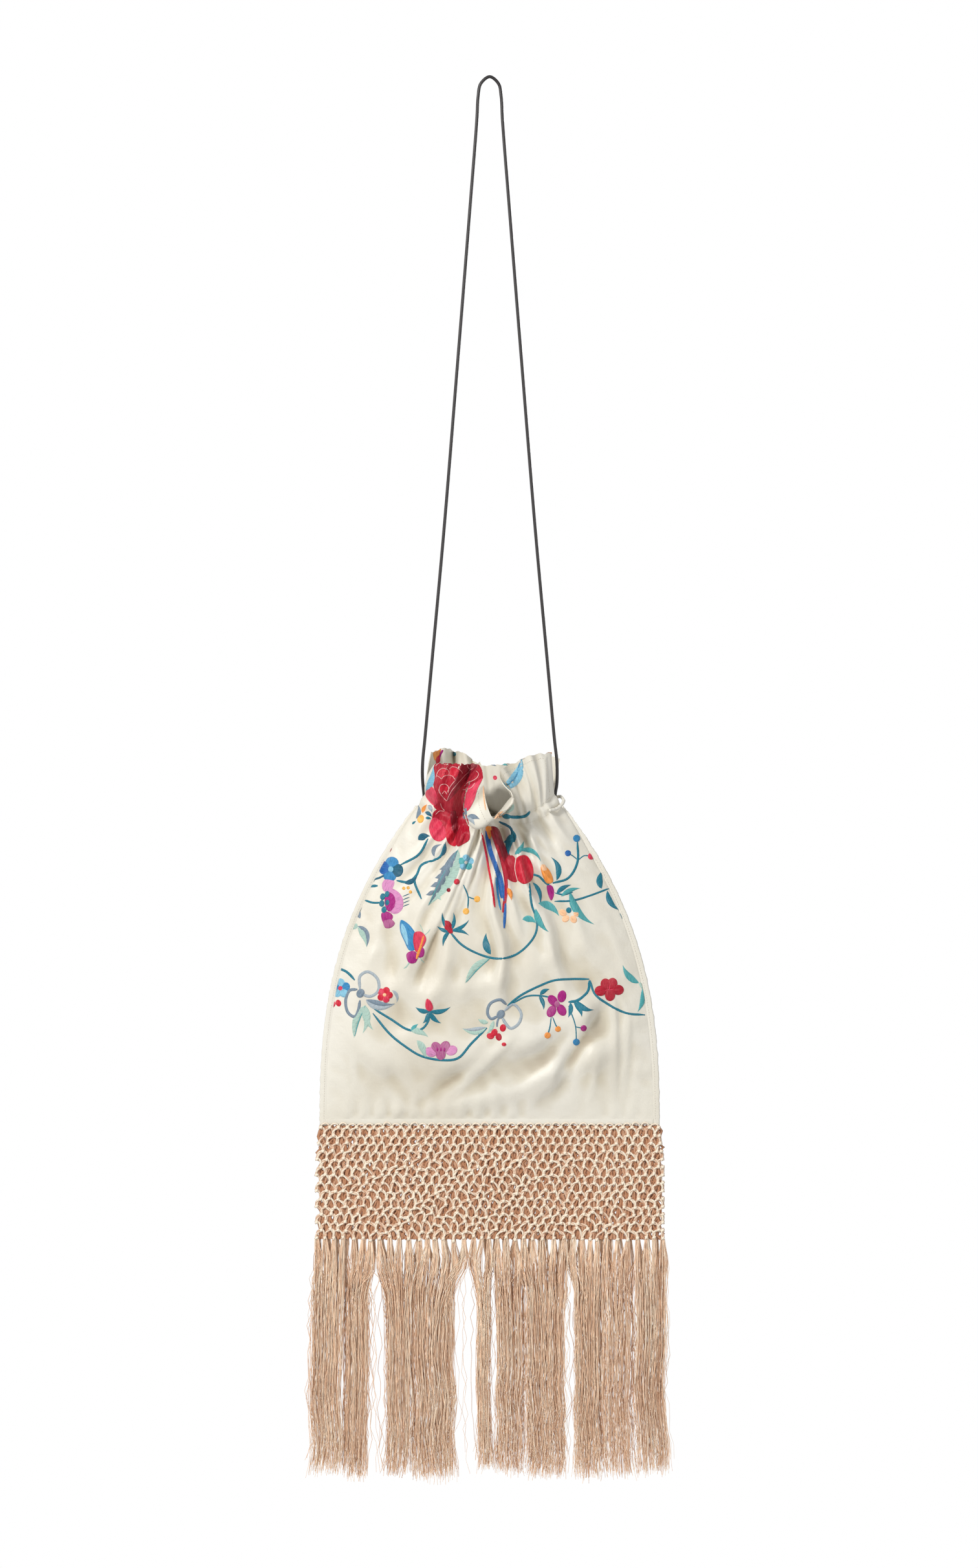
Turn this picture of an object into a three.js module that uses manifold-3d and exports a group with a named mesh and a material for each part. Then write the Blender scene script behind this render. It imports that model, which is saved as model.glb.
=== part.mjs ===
// A silk drawstring pouch that hangs from the bend of its black cord. Two silk panels are sewn to
// seams at the sides and along the bottom, and a drawstring in an inner casing gathers them at
// the neck, so that a frilled heading stands and flops above it. A knotted net border hangs from
// the bottom seam, front and back, and a long fringe hangs from each net.
//
// Millimetres. The front faces -Y, +X is to the right as seen from the front, and +Z is up. The
// origin is the point that the cord hangs on: the inside of its top bend.

import * as THREE from "three";
import { mergeVertices } from "three/addons/utils/BufferGeometryUtils.js";
import Module from "manifold-3d";

const wasm = await Module();
wasm.setup();

// Driving dimensions
const strapDrop = 553; // from the hang point down to where the cord enters the neck
const cordDiameter = 2.5;
const cordSides = 8;
const clothThickness = 1.2;
const clearance = 0.3; // between pieces that are sewn or laid together
const cordRoom = 0.9; // on each side of the cord where it passes a slit
const neckHalfWidth = 50;
const neckHalfDepth = 14;
const pouchHeight = 256; // from the cord's exits down to the bottom seam's lower edge
const bottomHalfWidth = 131.5;
const bellyDepth = 20; // how far each panel stands out where it is fullest
const seamWidth = 5;
const seamThickness = 3;
const headingHeight = 38;
const frontSag = 17; // how far the gathers droop in the middle of the front
const backSag = 8;
const pleatDepth = 2;
const casingHeight = 9;
const tapeThickness = 1;
const netHeight = 88;
const netOverhang = 3; // how far the border reaches past the pouch on each side
const netThickness = 2.6;
const netMeshColumns = 12;
const netMeshRows = 5;
const netBarWidth = 4;
const netRipple = 2; // how far the hanging border waves out of its plane
const fringeHeadHeight = 7;
const fringeLength = 178; // below the head
const fringeThickness = 4;
const fringeHeadSteps = 24; // across the head, so that it can follow the border's waves
const fringeFlare = 1.03; // how much wider the fringe hangs at its ends than at its head
const keeperDiameter = 3;

const exitLevel = -strapDrop;
const bottomLevel = exitLevel - pouchHeight;
const netTop = bottomLevel - clearance;
const netBottom = netTop - netHeight;
const netHalfWidth = bottomHalfWidth + netOverhang;
const fringeTop = netBottom - clearance;

// Shape of the pouch, as shares from the bottom seam's lower edge (0) up to the gathers (1)
const panelStart = (seamWidth + clearance) / pouchHeight;
const outlinePower = 2.6; // the sides run straight up and then curve in to the neck
const fullestAt = 0.5;
const bellyPower = 0.85; // how quickly the panels part above the bottom seam
const neckBlendFrom = 0.6;
const sideRounding = 0.85; // power of the panels' curve across, at the belly and at the neck
const neckRounding = 0.5;
const foldsStartOver = 0.05; // folds rise over this share above the bottom seam
const foldTaper = 0.7; // how much of its height a fold has lost at its far end
const pleatsReachDown = 0.13;
const sideFade = 6; // power by which folds and pleats die out towards the side seams
const foldsFadeFrom = 0.92;
const foldsFadeTo = 0.965;
const seamNarrowsFrom = 0.8;
const seamEndShare = 0.35;
const seamShoulder = 0.8; // how far across a seam its section starts to thin, and how thin it ends
const seamCrown = 0.67;
const slitOpensAt = 0.965;
const slitOpenBy = 0.99;

// A table's rows as objects, each value under its column's name
function table(names, rows) {
  return rows.map((row) => Object.fromEntries(names.map((name, i) => [name, row[i]])));
}

// Folds of the silk. across runs from -1 at the left seam to 1 at the right one, up runs from 0 at
// the bottom seam to 1 at the gathers, width is a share of bottomHalfWidth and height one of
// bellyDepth. edge narrows the fold's right-hand flank, so that it falls away like a laid pleat.
const foldColumns = ["across", "up", "toAcross", "toUp", "width", "height", "edge"];
const frontFolds = table(foldColumns, [
  [-0.19, 0.97, -0.46, 0.56, 0.11, 0.4, 0.35],
  [-0.07, 0.98, -0.24, 0.74, 0.055, 0.28, 0.6],
  [0.0, 0.96, 0.02, 0.7, 0.07, -0.2, 1],
  [0.1, 0.97, 0.22, 0.66, 0.06, 0.2, 0.8],
  [0.2, 0.95, 0.55, 0.72, 0.07, -0.14, 1],
  [-0.75, 0.62, -0.56, 0.34, 0.06, -0.16, 1],
  [-0.86, 0.5, -0.9, 0.08, 0.06, 0.12, 1],
  [-0.6, 0.15, -0.42, 0.0, 0.05, -0.14, 1],
  [-0.36, 0.09, -0.1, 0.05, 0.06, -0.16, 1],
  [0.56, 0.28, 0.16, 0.02, 0.07, -0.22, 1],
  [0.72, 0.36, 0.4, 0.1, 0.06, 0.16, 1],
  [0.84, 0.24, 0.74, 0.06, 0.05, -0.18, 1],
]);
const backFolds = table(foldColumns, [
  [-0.3, 0.96, -0.5, 0.6, 0.08, 0.2, 1],
  [0.1, 0.96, 0.12, 0.62, 0.08, -0.18, 1],
  [0.36, 0.96, 0.6, 0.62, 0.08, 0.18, 1],
  [-0.6, 0.3, -0.2, 0.06, 0.07, -0.16, 1],
  [0.7, 0.32, 0.3, 0.05, 0.07, -0.16, 1],
]);

// The frilled heading: for each place across the gathers, where the cloth bulges (crest) and where
// its hem ends, from the gathers, as shares of headingHeight. out is away from the pouch's middle.
const headingColumns = [
  "across",
  "crestAcross",
  "crestRise",
  "crestOut",
  "hemAcross",
  "hemRise",
  "hemOut",
];
const frontHeading = table(headingColumns, [
  [-1.0, -0.05, 0.3, 0.35, 0.2, 0.62, 0.15],
  [-0.8, 0.0, 0.45, 0.55, 0.17, 0.88, 0.3],
  [-0.6, -0.05, 0.5, 0.5, 0.17, 1.0, 0.35],
  [-0.42, 0.0, 0.5, 0.2, 0.17, 1.04, 0.1],
  [-0.3, -0.1, 0.45, 0.45, 0.2, 1.08, 0.25],
  [-0.18, -0.25, 0.1, 0.65, 0.12, 0.66, 0.6],
  [-0.08, -0.3, -0.1, 0.75, 0.03, 0.3, 0.75],
  [0.02, -0.2, 0.1, 0.7, 0.04, -0.05, 0.75],
  [0.14, 0.05, 0.45, 0.5, 0.13, 0.08, 0.7],
  [0.24, 0.08, 0.5, 0.42, 0.14, 0.26, 0.66],
  [0.34, 0.08, 0.5, 0.25, 0.0, 0.44, 0.54],
  [0.44, -0.08, 0.42, 0.2, -0.36, 0.75, 0.36],
  [0.54, -0.1, 0.5, 0.05, -0.45, 0.94, 0.1],
  [0.64, 0.0, 0.5, 0.1, -0.33, 1.0, 0.02],
  [0.76, 0.0, 0.5, 0.2, -0.25, 1.06, 0.12],
  [0.88, 0.0, 0.5, 0.15, -0.1, 1.0, 0.05],
  [1.0, -0.04, 0.45, 0.12, -0.06, 0.85, 0.05],
]);
const backHeading = table(headingColumns, [
  [-1.0, 0.02, 0.5, 0.15, 0.12, 0.86, 0.15],
  [-0.75, 0.0, 0.6, 0.2, 0.04, 1.08, 0.3],
  [-0.5, 0.0, 0.5, 0.35, -0.05, 1.07, 0.5],
  [-0.3, 0.0, 0.5, 0.15, -0.1, 1.03, 0.2],
  [-0.1, 0.0, 0.4, 0.35, -0.1, 0.8, 0.5],
  [0.15, 0.0, 0.4, 0.15, -0.07, 0.79, 0.22],
  [0.4, 0.0, 0.42, 0.35, 0.0, 0.84, 0.5],
  [0.65, 0.0, 0.47, 0.2, -0.04, 0.94, 0.25],
  [0.85, 0.02, 0.45, 0.35, 0.04, 0.9, 0.48],
  [1.0, 0.06, 0.4, 0.25, 0.12, 0.72, 0.35],
]);

// Locks of the fringe: from and to are shares of the fringe's half width, drop one of fringeLength,
// and drift says how far the lock's end hangs aside, as a share of fringeLength.
const lockColumns = ["from", "to", "drop", "drift"];
const frontLocks = table(lockColumns, [
  [-1.0, -0.86, 0.97, -0.03],
  [-0.855, -0.7, 0.99, -0.01],
  [-0.57, -0.41, 0.98, 0.0],
  [-0.405, -0.22, 1.0, 0.005],
  [-0.13, -0.02, 0.95, 0.01],
  [0.03, 0.17, 0.98, 0.0],
  [0.22, 0.32, 1.0, 0.01],
  [0.325, 0.44, 0.99, 0.005],
  [0.52, 0.66, 1.0, 0.0],
  [0.665, 0.8, 0.98, 0.005],
  [0.84, 1.0, 0.97, 0.01],
]);
const backLocks = table(lockColumns, [
  [-1.0, -0.84, 0.96, -0.02],
  [-0.82, -0.66, 0.98, -0.005],
  [-0.58, -0.4, 0.97, 0.0],
  [-0.39, -0.2, 0.99, 0.0],
  [-0.08, 0.08, 0.96, 0.01],
  [0.1, 0.28, 0.97, 0.0],
  [0.3, 0.46, 0.99, 0.0],
  [0.54, 0.7, 0.97, 0.0],
  [0.71, 0.85, 0.98, 0.0],
  [0.86, 1.0, 0.96, 0.01],
]);
// Width of a lock along its length, as shares of its width at the head
const lockWidths = [1, 0.86, 0.94, 1, 0.86];
const lockFlatness = 0.92; // a lock's thickness as a share of the head's
// The corners of a lock's section, as shares of its half width and half thickness
const lockSection = [
  [-1, -0.4],
  [-0.8, -1],
  [0.8, -1],
  [1, -0.4],
  [1, 0.4],
  [0.8, 1],
  [-0.8, 1],
  [-1, 0.4],
];

// The cord's route, from its end in the left slit over the hang point to the right slit
const cordRoute = [
  [-50.35, 0, -559],
  [-50.5, -0.2, -556],
  [-50.9, -0.5, -551.8],
  [-51.6, -0.8, -545.6],
  [-52.0, -1.0, -537],
  [-51.6, -1.0, -526],
  [-50.2, -0.8, -512],
  [-45.0, -0.5, -455],
  [-35.4, 0, -350],
  [-24.8, 0, -220],
  [-15.2, 0, -100],
  [-9.9, 0, -32],
  [-8.9, 0, -14],
  [-6.9, 0, -4.2],
  [0, 0, 1.25],
  [6.9, 0, -4.2],
  [8.9, 0, -14],
  [9.9, 0, -32],
  [15.2, 0, -100],
  [24.8, 0, -220],
  [35.4, 0, -350],
  [45.0, -0.5, -455],
  [50.2, -0.8, -512],
  [51.8, -1.0, -526],
  [52.2, -1.0, -537],
  [51.9, -0.8, -545.6],
  [50.9, -0.5, -551.8],
  [50.5, -0.2, -556],
  [50.35, 0, -559],
];

const mix = (a, b, share) => a + (b - a) * share;
const smooth = (from, to, value) => THREE.MathUtils.smoothstep(value, from, to);

// The value of one column of a table at a place between its rows, on a smooth curve
function tableValue(rows, column, across) {
  let i = 1;
  while (i < rows.length - 2 && rows[i].across < across) i += 1;
  const last = rows.length - 1;
  const [p, q] = [rows[i - 1], rows[i]];
  const before = rows[Math.max(i - 2, 0)];
  const after = rows[Math.min(i + 1, last)];
  if (across > q.across) return tableValue(rows.slice(i), column, across);
  const span = q.across - p.across;
  const share = (across - p.across) / span;
  const slopeAt = (a, b) => ((b[column] - a[column]) / (b.across - a.across)) * span;
  const [m0, m1] = [slopeAt(before, q), slopeAt(p, after)];
  const [t2, t3] = [share * share, share ** 3];
  return (
    (2 * t3 - 3 * t2 + 1) * p[column] +
    (t3 - 2 * t2 + share) * m0 +
    (3 * t2 - 2 * t3) * q[column] +
    (t3 - t2) * m1
  );
}

function edgeHalfWidth(up) {
  return mix(bottomHalfWidth, neckHalfWidth, up ** outlinePower);
}

// Half the distance between the outer faces of the two panels where they meet at the sides
function edgeHalfDepth(up) {
  const slit = cordDiameter / 2 + cordRoom + clothThickness;
  return mix(seamThickness / 2, slit, smooth(slitOpensAt, slitOpenBy, up));
}

// The side seams narrow towards the slits, where they end
function seamWidthAt(up) {
  return seamWidth * mix(1, seamEndShare, smooth(seamNarrowsFrom, slitOpensAt, up));
}

function panelHalfWidth(up) {
  const seam = seamWidthAt(up) + clearance;
  return edgeHalfWidth(up) - seam * (1 - smooth(slitOpensAt, slitOpenBy, up));
}

function depthOfPanel(across, up) {
  const belly = (1 - (1 - Math.min(up / fullestAt, 1)) ** 2) ** bellyPower * bellyDepth;
  const toNeck = smooth(neckBlendFrom, 1, up);
  const lens = Math.max(1 - across ** 2, 0) ** mix(sideRounding, neckRounding, toNeck);
  return edgeHalfDepth(up) + mix(belly, neckHalfDepth, toNeck) * lens;
}

function gatherLevel(across, sag) {
  return exitLevel - sag * (1 - across ** 4);
}

function foldHeight(fold, across, up) {
  const run = new THREE.Vector2(
    (fold.toAcross - fold.across) * bottomHalfWidth,
    (fold.toUp - fold.up) * pouchHeight,
  );
  const here = new THREE.Vector2(
    (across - fold.across) * bottomHalfWidth,
    (up - fold.up) * pouchHeight,
  );
  const length = run.length();
  const along = here.dot(run) / length ** 2;
  const side = (here.x * -run.y + here.y * run.x) / length; // positive on the fold's right
  const width = fold.width * bottomHalfWidth * (side > 0 ? fold.edge : 1);
  const beyond = Math.max(-along, along - 1, 0) * length;
  const taper = 1 - foldTaper * THREE.MathUtils.clamp(along, 0, 1);
  return fold.height * bellyDepth * taper * Math.exp(-((side / width) ** 2) - (beyond / width) ** 2);
}

// How far a panel with its folds stands out from the pouch's middle. Folds die out at the seams
// and at the casing.
function foldedDepth(panel, across, up) {
  const folds = panel.folds.reduce((sum, fold) => sum + foldHeight(fold, across, up), 0);
  const fromSeam = Math.min((up - panelStart) / foldsStartOver, 1);
  const belowCasing = 1 - smooth(foldsFadeFrom, foldsFadeTo, up);
  return depthOfPanel(across, up) + folds * fromSeam * belowCasing * (1 - across ** sideFade);
}

// A point on the outer face of a panel below the gathers. facing is -1 for the front, 1 for the back.
function panelPoint(panel, across, up) {
  const shareOfPanel = (up - panelStart) / (1 - panelStart);
  const level = bottomLevel + panelStart * pouchHeight;
  const nearGathers = Math.exp(-(((1 - up) / pleatsReachDown) ** 2)) * (1 - across ** sideFade);
  const pleats = pleatDepth * Math.cos(panel.pleatCount * Math.PI * across) * nearGathers;
  const depth = foldedDepth(panel, across, up) + pleats;
  return new THREE.Vector3(
    across * panelHalfWidth(up),
    panel.facing * depth,
    mix(level, gatherLevel(across, panel.sag), shareOfPanel),
  );
}

// A point on the outer face of the heading: height runs from 0 at the gathers to 1 at the hem
function headingPoint(panel, across, height) {
  const root = panelPoint(panel, across, 1);
  const share = (column) => tableValue(panel.heading, column, across) * headingHeight;
  const crest = new THREE.Vector3(
    root.x + share("crestAcross"),
    root.y + panel.facing * share("crestOut"),
    root.z + share("crestRise"),
  );
  const hem = new THREE.Vector3(
    root.x + share("hemAcross"),
    root.y + panel.facing * share("hemOut"),
    root.z + share("hemRise"),
  );
  return new THREE.QuadraticBezierCurve3(root, crest, hem).getPoint(height);
}

// A closed sheet: its outer face is a grid of points, and its inner face lies one thickness behind
function sheetGeometry(grid, thickness, facing) {
  const rows = grid.length;
  const columns = grid[0].length;
  const at = (j, i) =>
    grid[THREE.MathUtils.clamp(j, 0, rows - 1)][THREE.MathUtils.clamp(i, 0, columns - 1)];
  const inner = grid.map((row, j) =>
    row.map((point, i) => {
      const acrossSheet = at(j, i + 1).clone().sub(at(j, i - 1));
      const upSheet = at(j + 1, i).clone().sub(at(j - 1, i));
      const inward = acrossSheet.cross(upSheet).normalize().multiplyScalar(-thickness);
      return point.clone().addScaledVector(inward, -facing);
    }),
  );
  const positions = [...grid.flat(), ...inner.flat()].flatMap((p) => [p.x, p.y, p.z]);
  const faces = [];
  const quad = (a, b, c, d) => faces.push(a, b, c, a, c, d);
  const outerAt = (j, i) => j * columns + i;
  const innerAt = (j, i) => rows * columns + j * columns + i;
  for (let j = 0; j < rows - 1; j += 1) {
    for (let i = 0; i < columns - 1; i += 1) {
      quad(outerAt(j, i), outerAt(j, i + 1), outerAt(j + 1, i + 1), outerAt(j + 1, i));
      quad(innerAt(j, i), innerAt(j + 1, i), innerAt(j + 1, i + 1), innerAt(j, i + 1));
    }
    quad(outerAt(j, 0), outerAt(j + 1, 0), innerAt(j + 1, 0), innerAt(j, 0));
    const last = columns - 1;
    quad(outerAt(j, last), innerAt(j, last), innerAt(j + 1, last), outerAt(j + 1, last));
  }
  for (let i = 0; i < columns - 1; i += 1) {
    quad(outerAt(0, i), innerAt(0, i), innerAt(0, i + 1), outerAt(0, i + 1));
    const top = rows - 1;
    quad(outerAt(top, i), outerAt(top, i + 1), innerAt(top, i + 1), innerAt(top, i));
  }
  if (facing > 0) {
    for (let k = 0; k < faces.length; k += 3) {
      [faces[k + 1], faces[k + 2]] = [faces[k + 2], faces[k + 1]];
    }
  }
  return new THREE.BufferGeometry()
    .setAttribute("position", new THREE.Float32BufferAttribute(positions, 3))
    .setIndex(faces);
}

// Sweeps a section, given at each step as a ring of points, into a closed bar
function loftGeometry(rings) {
  const sides = rings[0].length;
  const positions = rings.flat().flatMap((p) => [p.x, p.y, p.z]);
  const faces = [];
  for (let k = 0; k < rings.length - 1; k += 1) {
    for (let i = 0; i < sides; i += 1) {
      const next = (i + 1) % sides;
      const [a, b] = [k * sides + i, k * sides + next];
      faces.push(a, b, b + sides, a, b + sides, a + sides);
    }
  }
  const end = (rings.length - 1) * sides;
  for (let i = 1; i < sides - 1; i += 1) {
    faces.push(0, i + 1, i, end, end + i, end + i + 1);
  }
  return new THREE.BufferGeometry()
    .setAttribute("position", new THREE.Float32BufferAttribute(positions, 3))
    .setIndex(faces);
}

// A closed ring: the same sweep with its last section joined to its first
function ringGeometry(rings) {
  const sides = rings[0].length;
  const positions = rings.flat().flatMap((p) => [p.x, p.y, p.z]);
  const faces = [];
  rings.forEach((_, k) => {
    const [here, there] = [k * sides, ((k + 1) % rings.length) * sides];
    for (let i = 0; i < sides; i += 1) {
      const next = (i + 1) % sides;
      faces.push(here + i, here + next, there + next, here + i, there + next, there + i);
    }
  });
  return new THREE.BufferGeometry()
    .setAttribute("position", new THREE.Float32BufferAttribute(positions, 3))
    .setIndex(faces);
}

function solidOf(geometry) {
  const bare = geometry.clone();
  bare.deleteAttribute("normal");
  bare.deleteAttribute("uv");
  const merged = mergeVertices(bare, 1e-4);
  return new wasm.Manifold(
    new wasm.Mesh({
      numProp: 3,
      vertProperties: merged.attributes.position.array,
      triVerts: new Uint32Array(merged.index.array),
    }),
  );
}

function geometryOf(solid) {
  const mesh = solid.getMesh();
  return new THREE.BufferGeometry()
    .setAttribute("position", new THREE.BufferAttribute(mesh.vertProperties, 3))
    .setIndex(new THREE.BufferAttribute(mesh.triVerts, 1));
}

const silk = new THREE.MeshStandardMaterial({ color: 0xe9e2cf, roughness: 0.45, metalness: 0 });
const knotted = new THREE.MeshStandardMaterial({ color: 0xdfc3a4, roughness: 0.8, metalness: 0 });
const fringeSilk = new THREE.MeshStandardMaterial({ color: 0xcfa684, roughness: 0.6, metalness: 0 });
const blackCord = new THREE.MeshStandardMaterial({ color: 0x2a2425, roughness: 0.5, metalness: 0 });

const group = new THREE.Group();

function addPiece(name, geometry, material) {
  const mesh = new THREE.Mesh(geometry, material);
  mesh.name = name;
  group.add(mesh);
}

// The two silk panels, each from the bottom seam to the hem of its heading
const panelColumns = 32;
const panelRows = 14;
const headingRows = 5;
const frontPanel = {
  facing: -1,
  sag: frontSag,
  pleatCount: 7,
  folds: frontFolds,
  heading: frontHeading,
};
const backPanel = {
  facing: 1,
  sag: backSag,
  pleatCount: 7,
  folds: backFolds,
  heading: backHeading,
};

const columns = Array.from({ length: panelColumns + 1 }, (_, i) => mix(-1, 1, i / panelColumns));
// Rows lie closer together towards the bottom seam and the gathers
const rowsUp = Array.from({ length: panelRows + 1 }, (_, j) =>
  mix(panelStart, 1, (1 - Math.cos((Math.PI * j) / panelRows)) / 2),
);

function panelGeometry(panel) {
  const grid = rowsUp.map((up) => columns.map((across) => panelPoint(panel, across, up)));
  for (let j = 1; j <= headingRows; j += 1) {
    grid.push(columns.map((across) => headingPoint(panel, across, j / headingRows)));
  }
  return sheetGeometry(grid, clothThickness, panel.facing);
}

addPiece("silk_front", panelGeometry(frontPanel), silk);
addPiece("silk_back", panelGeometry(backPanel), silk);

// Side seams: the folded edges of both panels, sewn flat
function sideSeamGeometry(side) {
  const half = seamThickness / 2;
  const steps = [0, ...rowsUp.filter((up) => up < slitOpensAt)];
  const rings = steps.map((up) => {
    const outer = edgeHalfWidth(up);
    const inner = outer - seamWidthAt(up);
    const level = mix(bottomLevel, exitLevel, up);
    const round = mix(inner, outer, seamShoulder);
    const section = [
      [inner, -half],
      [round, -half],
      [outer, 0],
      [round, half],
      [inner, half],
    ];
    const ring = section.map(([x, y]) => new THREE.Vector3(side * x, y, level));
    return side < 0 ? ring.reverse() : ring;
  });
  return loftGeometry(rings);
}

addPiece("side_seam_left", sideSeamGeometry(-1), silk);
addPiece("side_seam_right", sideSeamGeometry(1), silk);

// Bottom seam: the closed lower edge of the pouch, between the side seams
const bottomSeamSection = new THREE.Shape([
  new THREE.Vector2(-seamThickness / 2, 0),
  new THREE.Vector2(seamThickness / 2, 0),
  new THREE.Vector2(seamThickness / 2, seamWidth * seamShoulder),
  new THREE.Vector2((seamThickness / 2) * seamCrown, seamWidth),
  new THREE.Vector2((-seamThickness / 2) * seamCrown, seamWidth),
  new THREE.Vector2(-seamThickness / 2, seamWidth * seamShoulder),
]);
const bottomSeamHalf = bottomHalfWidth - seamWidth - clearance;
const bottomSeam = new THREE.ExtrudeGeometry(bottomSeamSection, {
  depth: 2 * bottomSeamHalf,
  bevelEnabled: false,
});
bottomSeam.rotateX(Math.PI / 2).rotateZ(Math.PI / 2);
bottomSeam.translate(-bottomSeamHalf, 0, bottomLevel);
addPiece("bottom_seam", bottomSeam, silk);

// The casing: a strip sewn inside each panel just below the gathers, bulging over the drawstring
function panelUpAt(across, panel, level) {
  const start = bottomLevel + panelStart * pouchHeight;
  const share = (level - start) / (gatherLevel(across, panel.sag) - start);
  return mix(panelStart, 1, share);
}

// How far the casing and the drawstring lie from the panel's outer face, measured to the middle
const casingSetBack = clothThickness + clearance + pleatDepth;
const casingReach = 0.88; // how far across the panel the strips run
const drawstringReach = 0.93;
const casingColumns = columns.filter((across, i) => i % 2 === 0 && Math.abs(across) < casingReach);
const upward = new THREE.Vector3(0, 0, 1);

function casingPoint(panel, across, rise, bulge) {
  const level = gatherLevel(across, panel.sag) - casingHeight / 2 + rise;
  const up = panelUpAt(across, panel, level);
  const depth = foldedDepth(panel, across, up) - casingSetBack - bulge;
  return new THREE.Vector3(across * panelHalfWidth(up), panel.facing * depth, level);
}

function casingGeometry(panel) {
  const half = casingHeight / 2;
  const belly = cordDiameter + 2 * clearance;
  const rows = [
    [-half, 0],
    [-half / 2, belly],
    [half / 2, belly],
    [half, 0],
  ];
  const grid = rows.map(([rise, bulge]) =>
    casingColumns.map((across) => casingPoint(panel, across, rise, bulge)),
  );
  return sheetGeometry(grid, tapeThickness, panel.facing);
}

addPiece("casing_front", casingGeometry(frontPanel), silk);
addPiece("casing_back", casingGeometry(backPanel), silk);

// The drawstring: a loop through both strips, which the strap's ends meet at the sides
function drawstringCentre(panel, across) {
  return casingPoint(panel, across, 0, cordDiameter / 2 + clearance);
}

function drawstringGeometry() {
  const turns = [-drawstringReach, ...casingColumns, drawstringReach];
  const centres = [
    ...turns.map((across) => drawstringCentre(frontPanel, across)),
    ...turns.map((across) => drawstringCentre(backPanel, -across)),
  ];
  const rings = centres.map((centre, k) => {
    const next = centres[(k + 1) % centres.length];
    const before = centres[(k + centres.length - 1) % centres.length];
    const along = next.clone().sub(before).normalize();
    const outward = along.clone().cross(upward).normalize();
    const level = outward.clone().cross(along);
    return Array.from({ length: cordSides }, (_, i) => {
      const turn = (2 * Math.PI * i) / cordSides;
      return centre
        .clone()
        .addScaledVector(outward, (Math.cos(turn) * cordDiameter) / 2)
        .addScaledVector(level, (Math.sin(turn) * cordDiameter) / 2);
    }).reverse();
  });
  return ringGeometry(rings);
}

addPiece("drawstring", drawstringGeometry(), blackCord);

// The strap cord: more of its steps fall where it bends
class CordCurve extends THREE.CatmullRomCurve3 {
  getUtoTmapping(u) {
    return u;
  }
}

function roundSection(diameter, sides) {
  return new THREE.Shape(
    Array.from({ length: sides }, (_, i) => {
      const turn = (2 * Math.PI * i) / sides;
      return new THREE.Vector2(Math.cos(turn), Math.sin(turn)).multiplyScalar(diameter / 2);
    }),
  );
}

const cordPath = new CordCurve(cordRoute.map((point) => new THREE.Vector3(...point)));
const strapCord = new THREE.ExtrudeGeometry(roundSection(cordDiameter, cordSides), {
  steps: 2 * (cordRoute.length - 1),
  extrudePath: cordPath,
});
addPiece("strap_cord", strapCord, blackCord);

// The keeper: a silk tube sewn to both panels, looped round the cord where it leaves the right slit
const keeperRoute = [
  { panel: frontPanel, across: 0.83, up: 0.985, lift: 0 },
  { panel: frontPanel, across: 0.92, up: 0.975, lift: 0.5 },
  { panel: frontPanel, across: 1, up: 0.978, lift: 1.5 },
  { panel: backPanel, across: 1, up: 0.992, lift: 1.5 },
  { panel: backPanel, across: 0.92, up: 0.995, lift: 0.5 },
  { panel: backPanel, across: 0.85, up: 0.988, lift: 0 },
];
const keeperSteps = 14;
const keeperAside = 0.8; // share of its set-off that carries it past the cloth's side edges
const keeperCentres = keeperRoute.map(({ panel, across, up, lift }) => {
  const centre = panelPoint(panel, across, up);
  const off = keeperDiameter / 2 + clearance + pleatDepth / 2 + lift;
  centre.x += across * off * keeperAside;
  centre.y += panel.facing * off * (1 - across ** sideFade);
  return centre;
});
const keeper = new THREE.ExtrudeGeometry(roundSection(keeperDiameter, cordSides), {
  steps: keeperSteps,
  extrudePath: new THREE.CatmullRomCurve3(keeperCentres),
});
addPiece("cord_keeper", keeper, silk);

// The border and fringe hang in soft waves, which grow down to rippleGrowsTo net heights
const rippleGrowsTo = 1.6;
const rippleTurns = 5.2; // radians of the wave over half the border's width
const rippleStart = 0.6;

function ripple(x, z) {
  const hang = THREE.MathUtils.clamp((netTop - z) / netHeight, 0, rippleGrowsTo);
  return netRipple * hang * Math.sin((x / netHalfWidth) * rippleTurns + rippleStart);
}

function rippled(geometry) {
  const position = geometry.attributes.position;
  for (let i = 0; i < position.count; i += 1) {
    position.setY(i, position.getY(i) + ripple(position.getX(i), position.getZ(i)));
  }
  return geometry;
}

// The knotted border: a lattice of slanting bars between rows of diamond-shaped meshes
const netFullBelow = netTop - netHeight / 3; // from here down it has its full width

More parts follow.
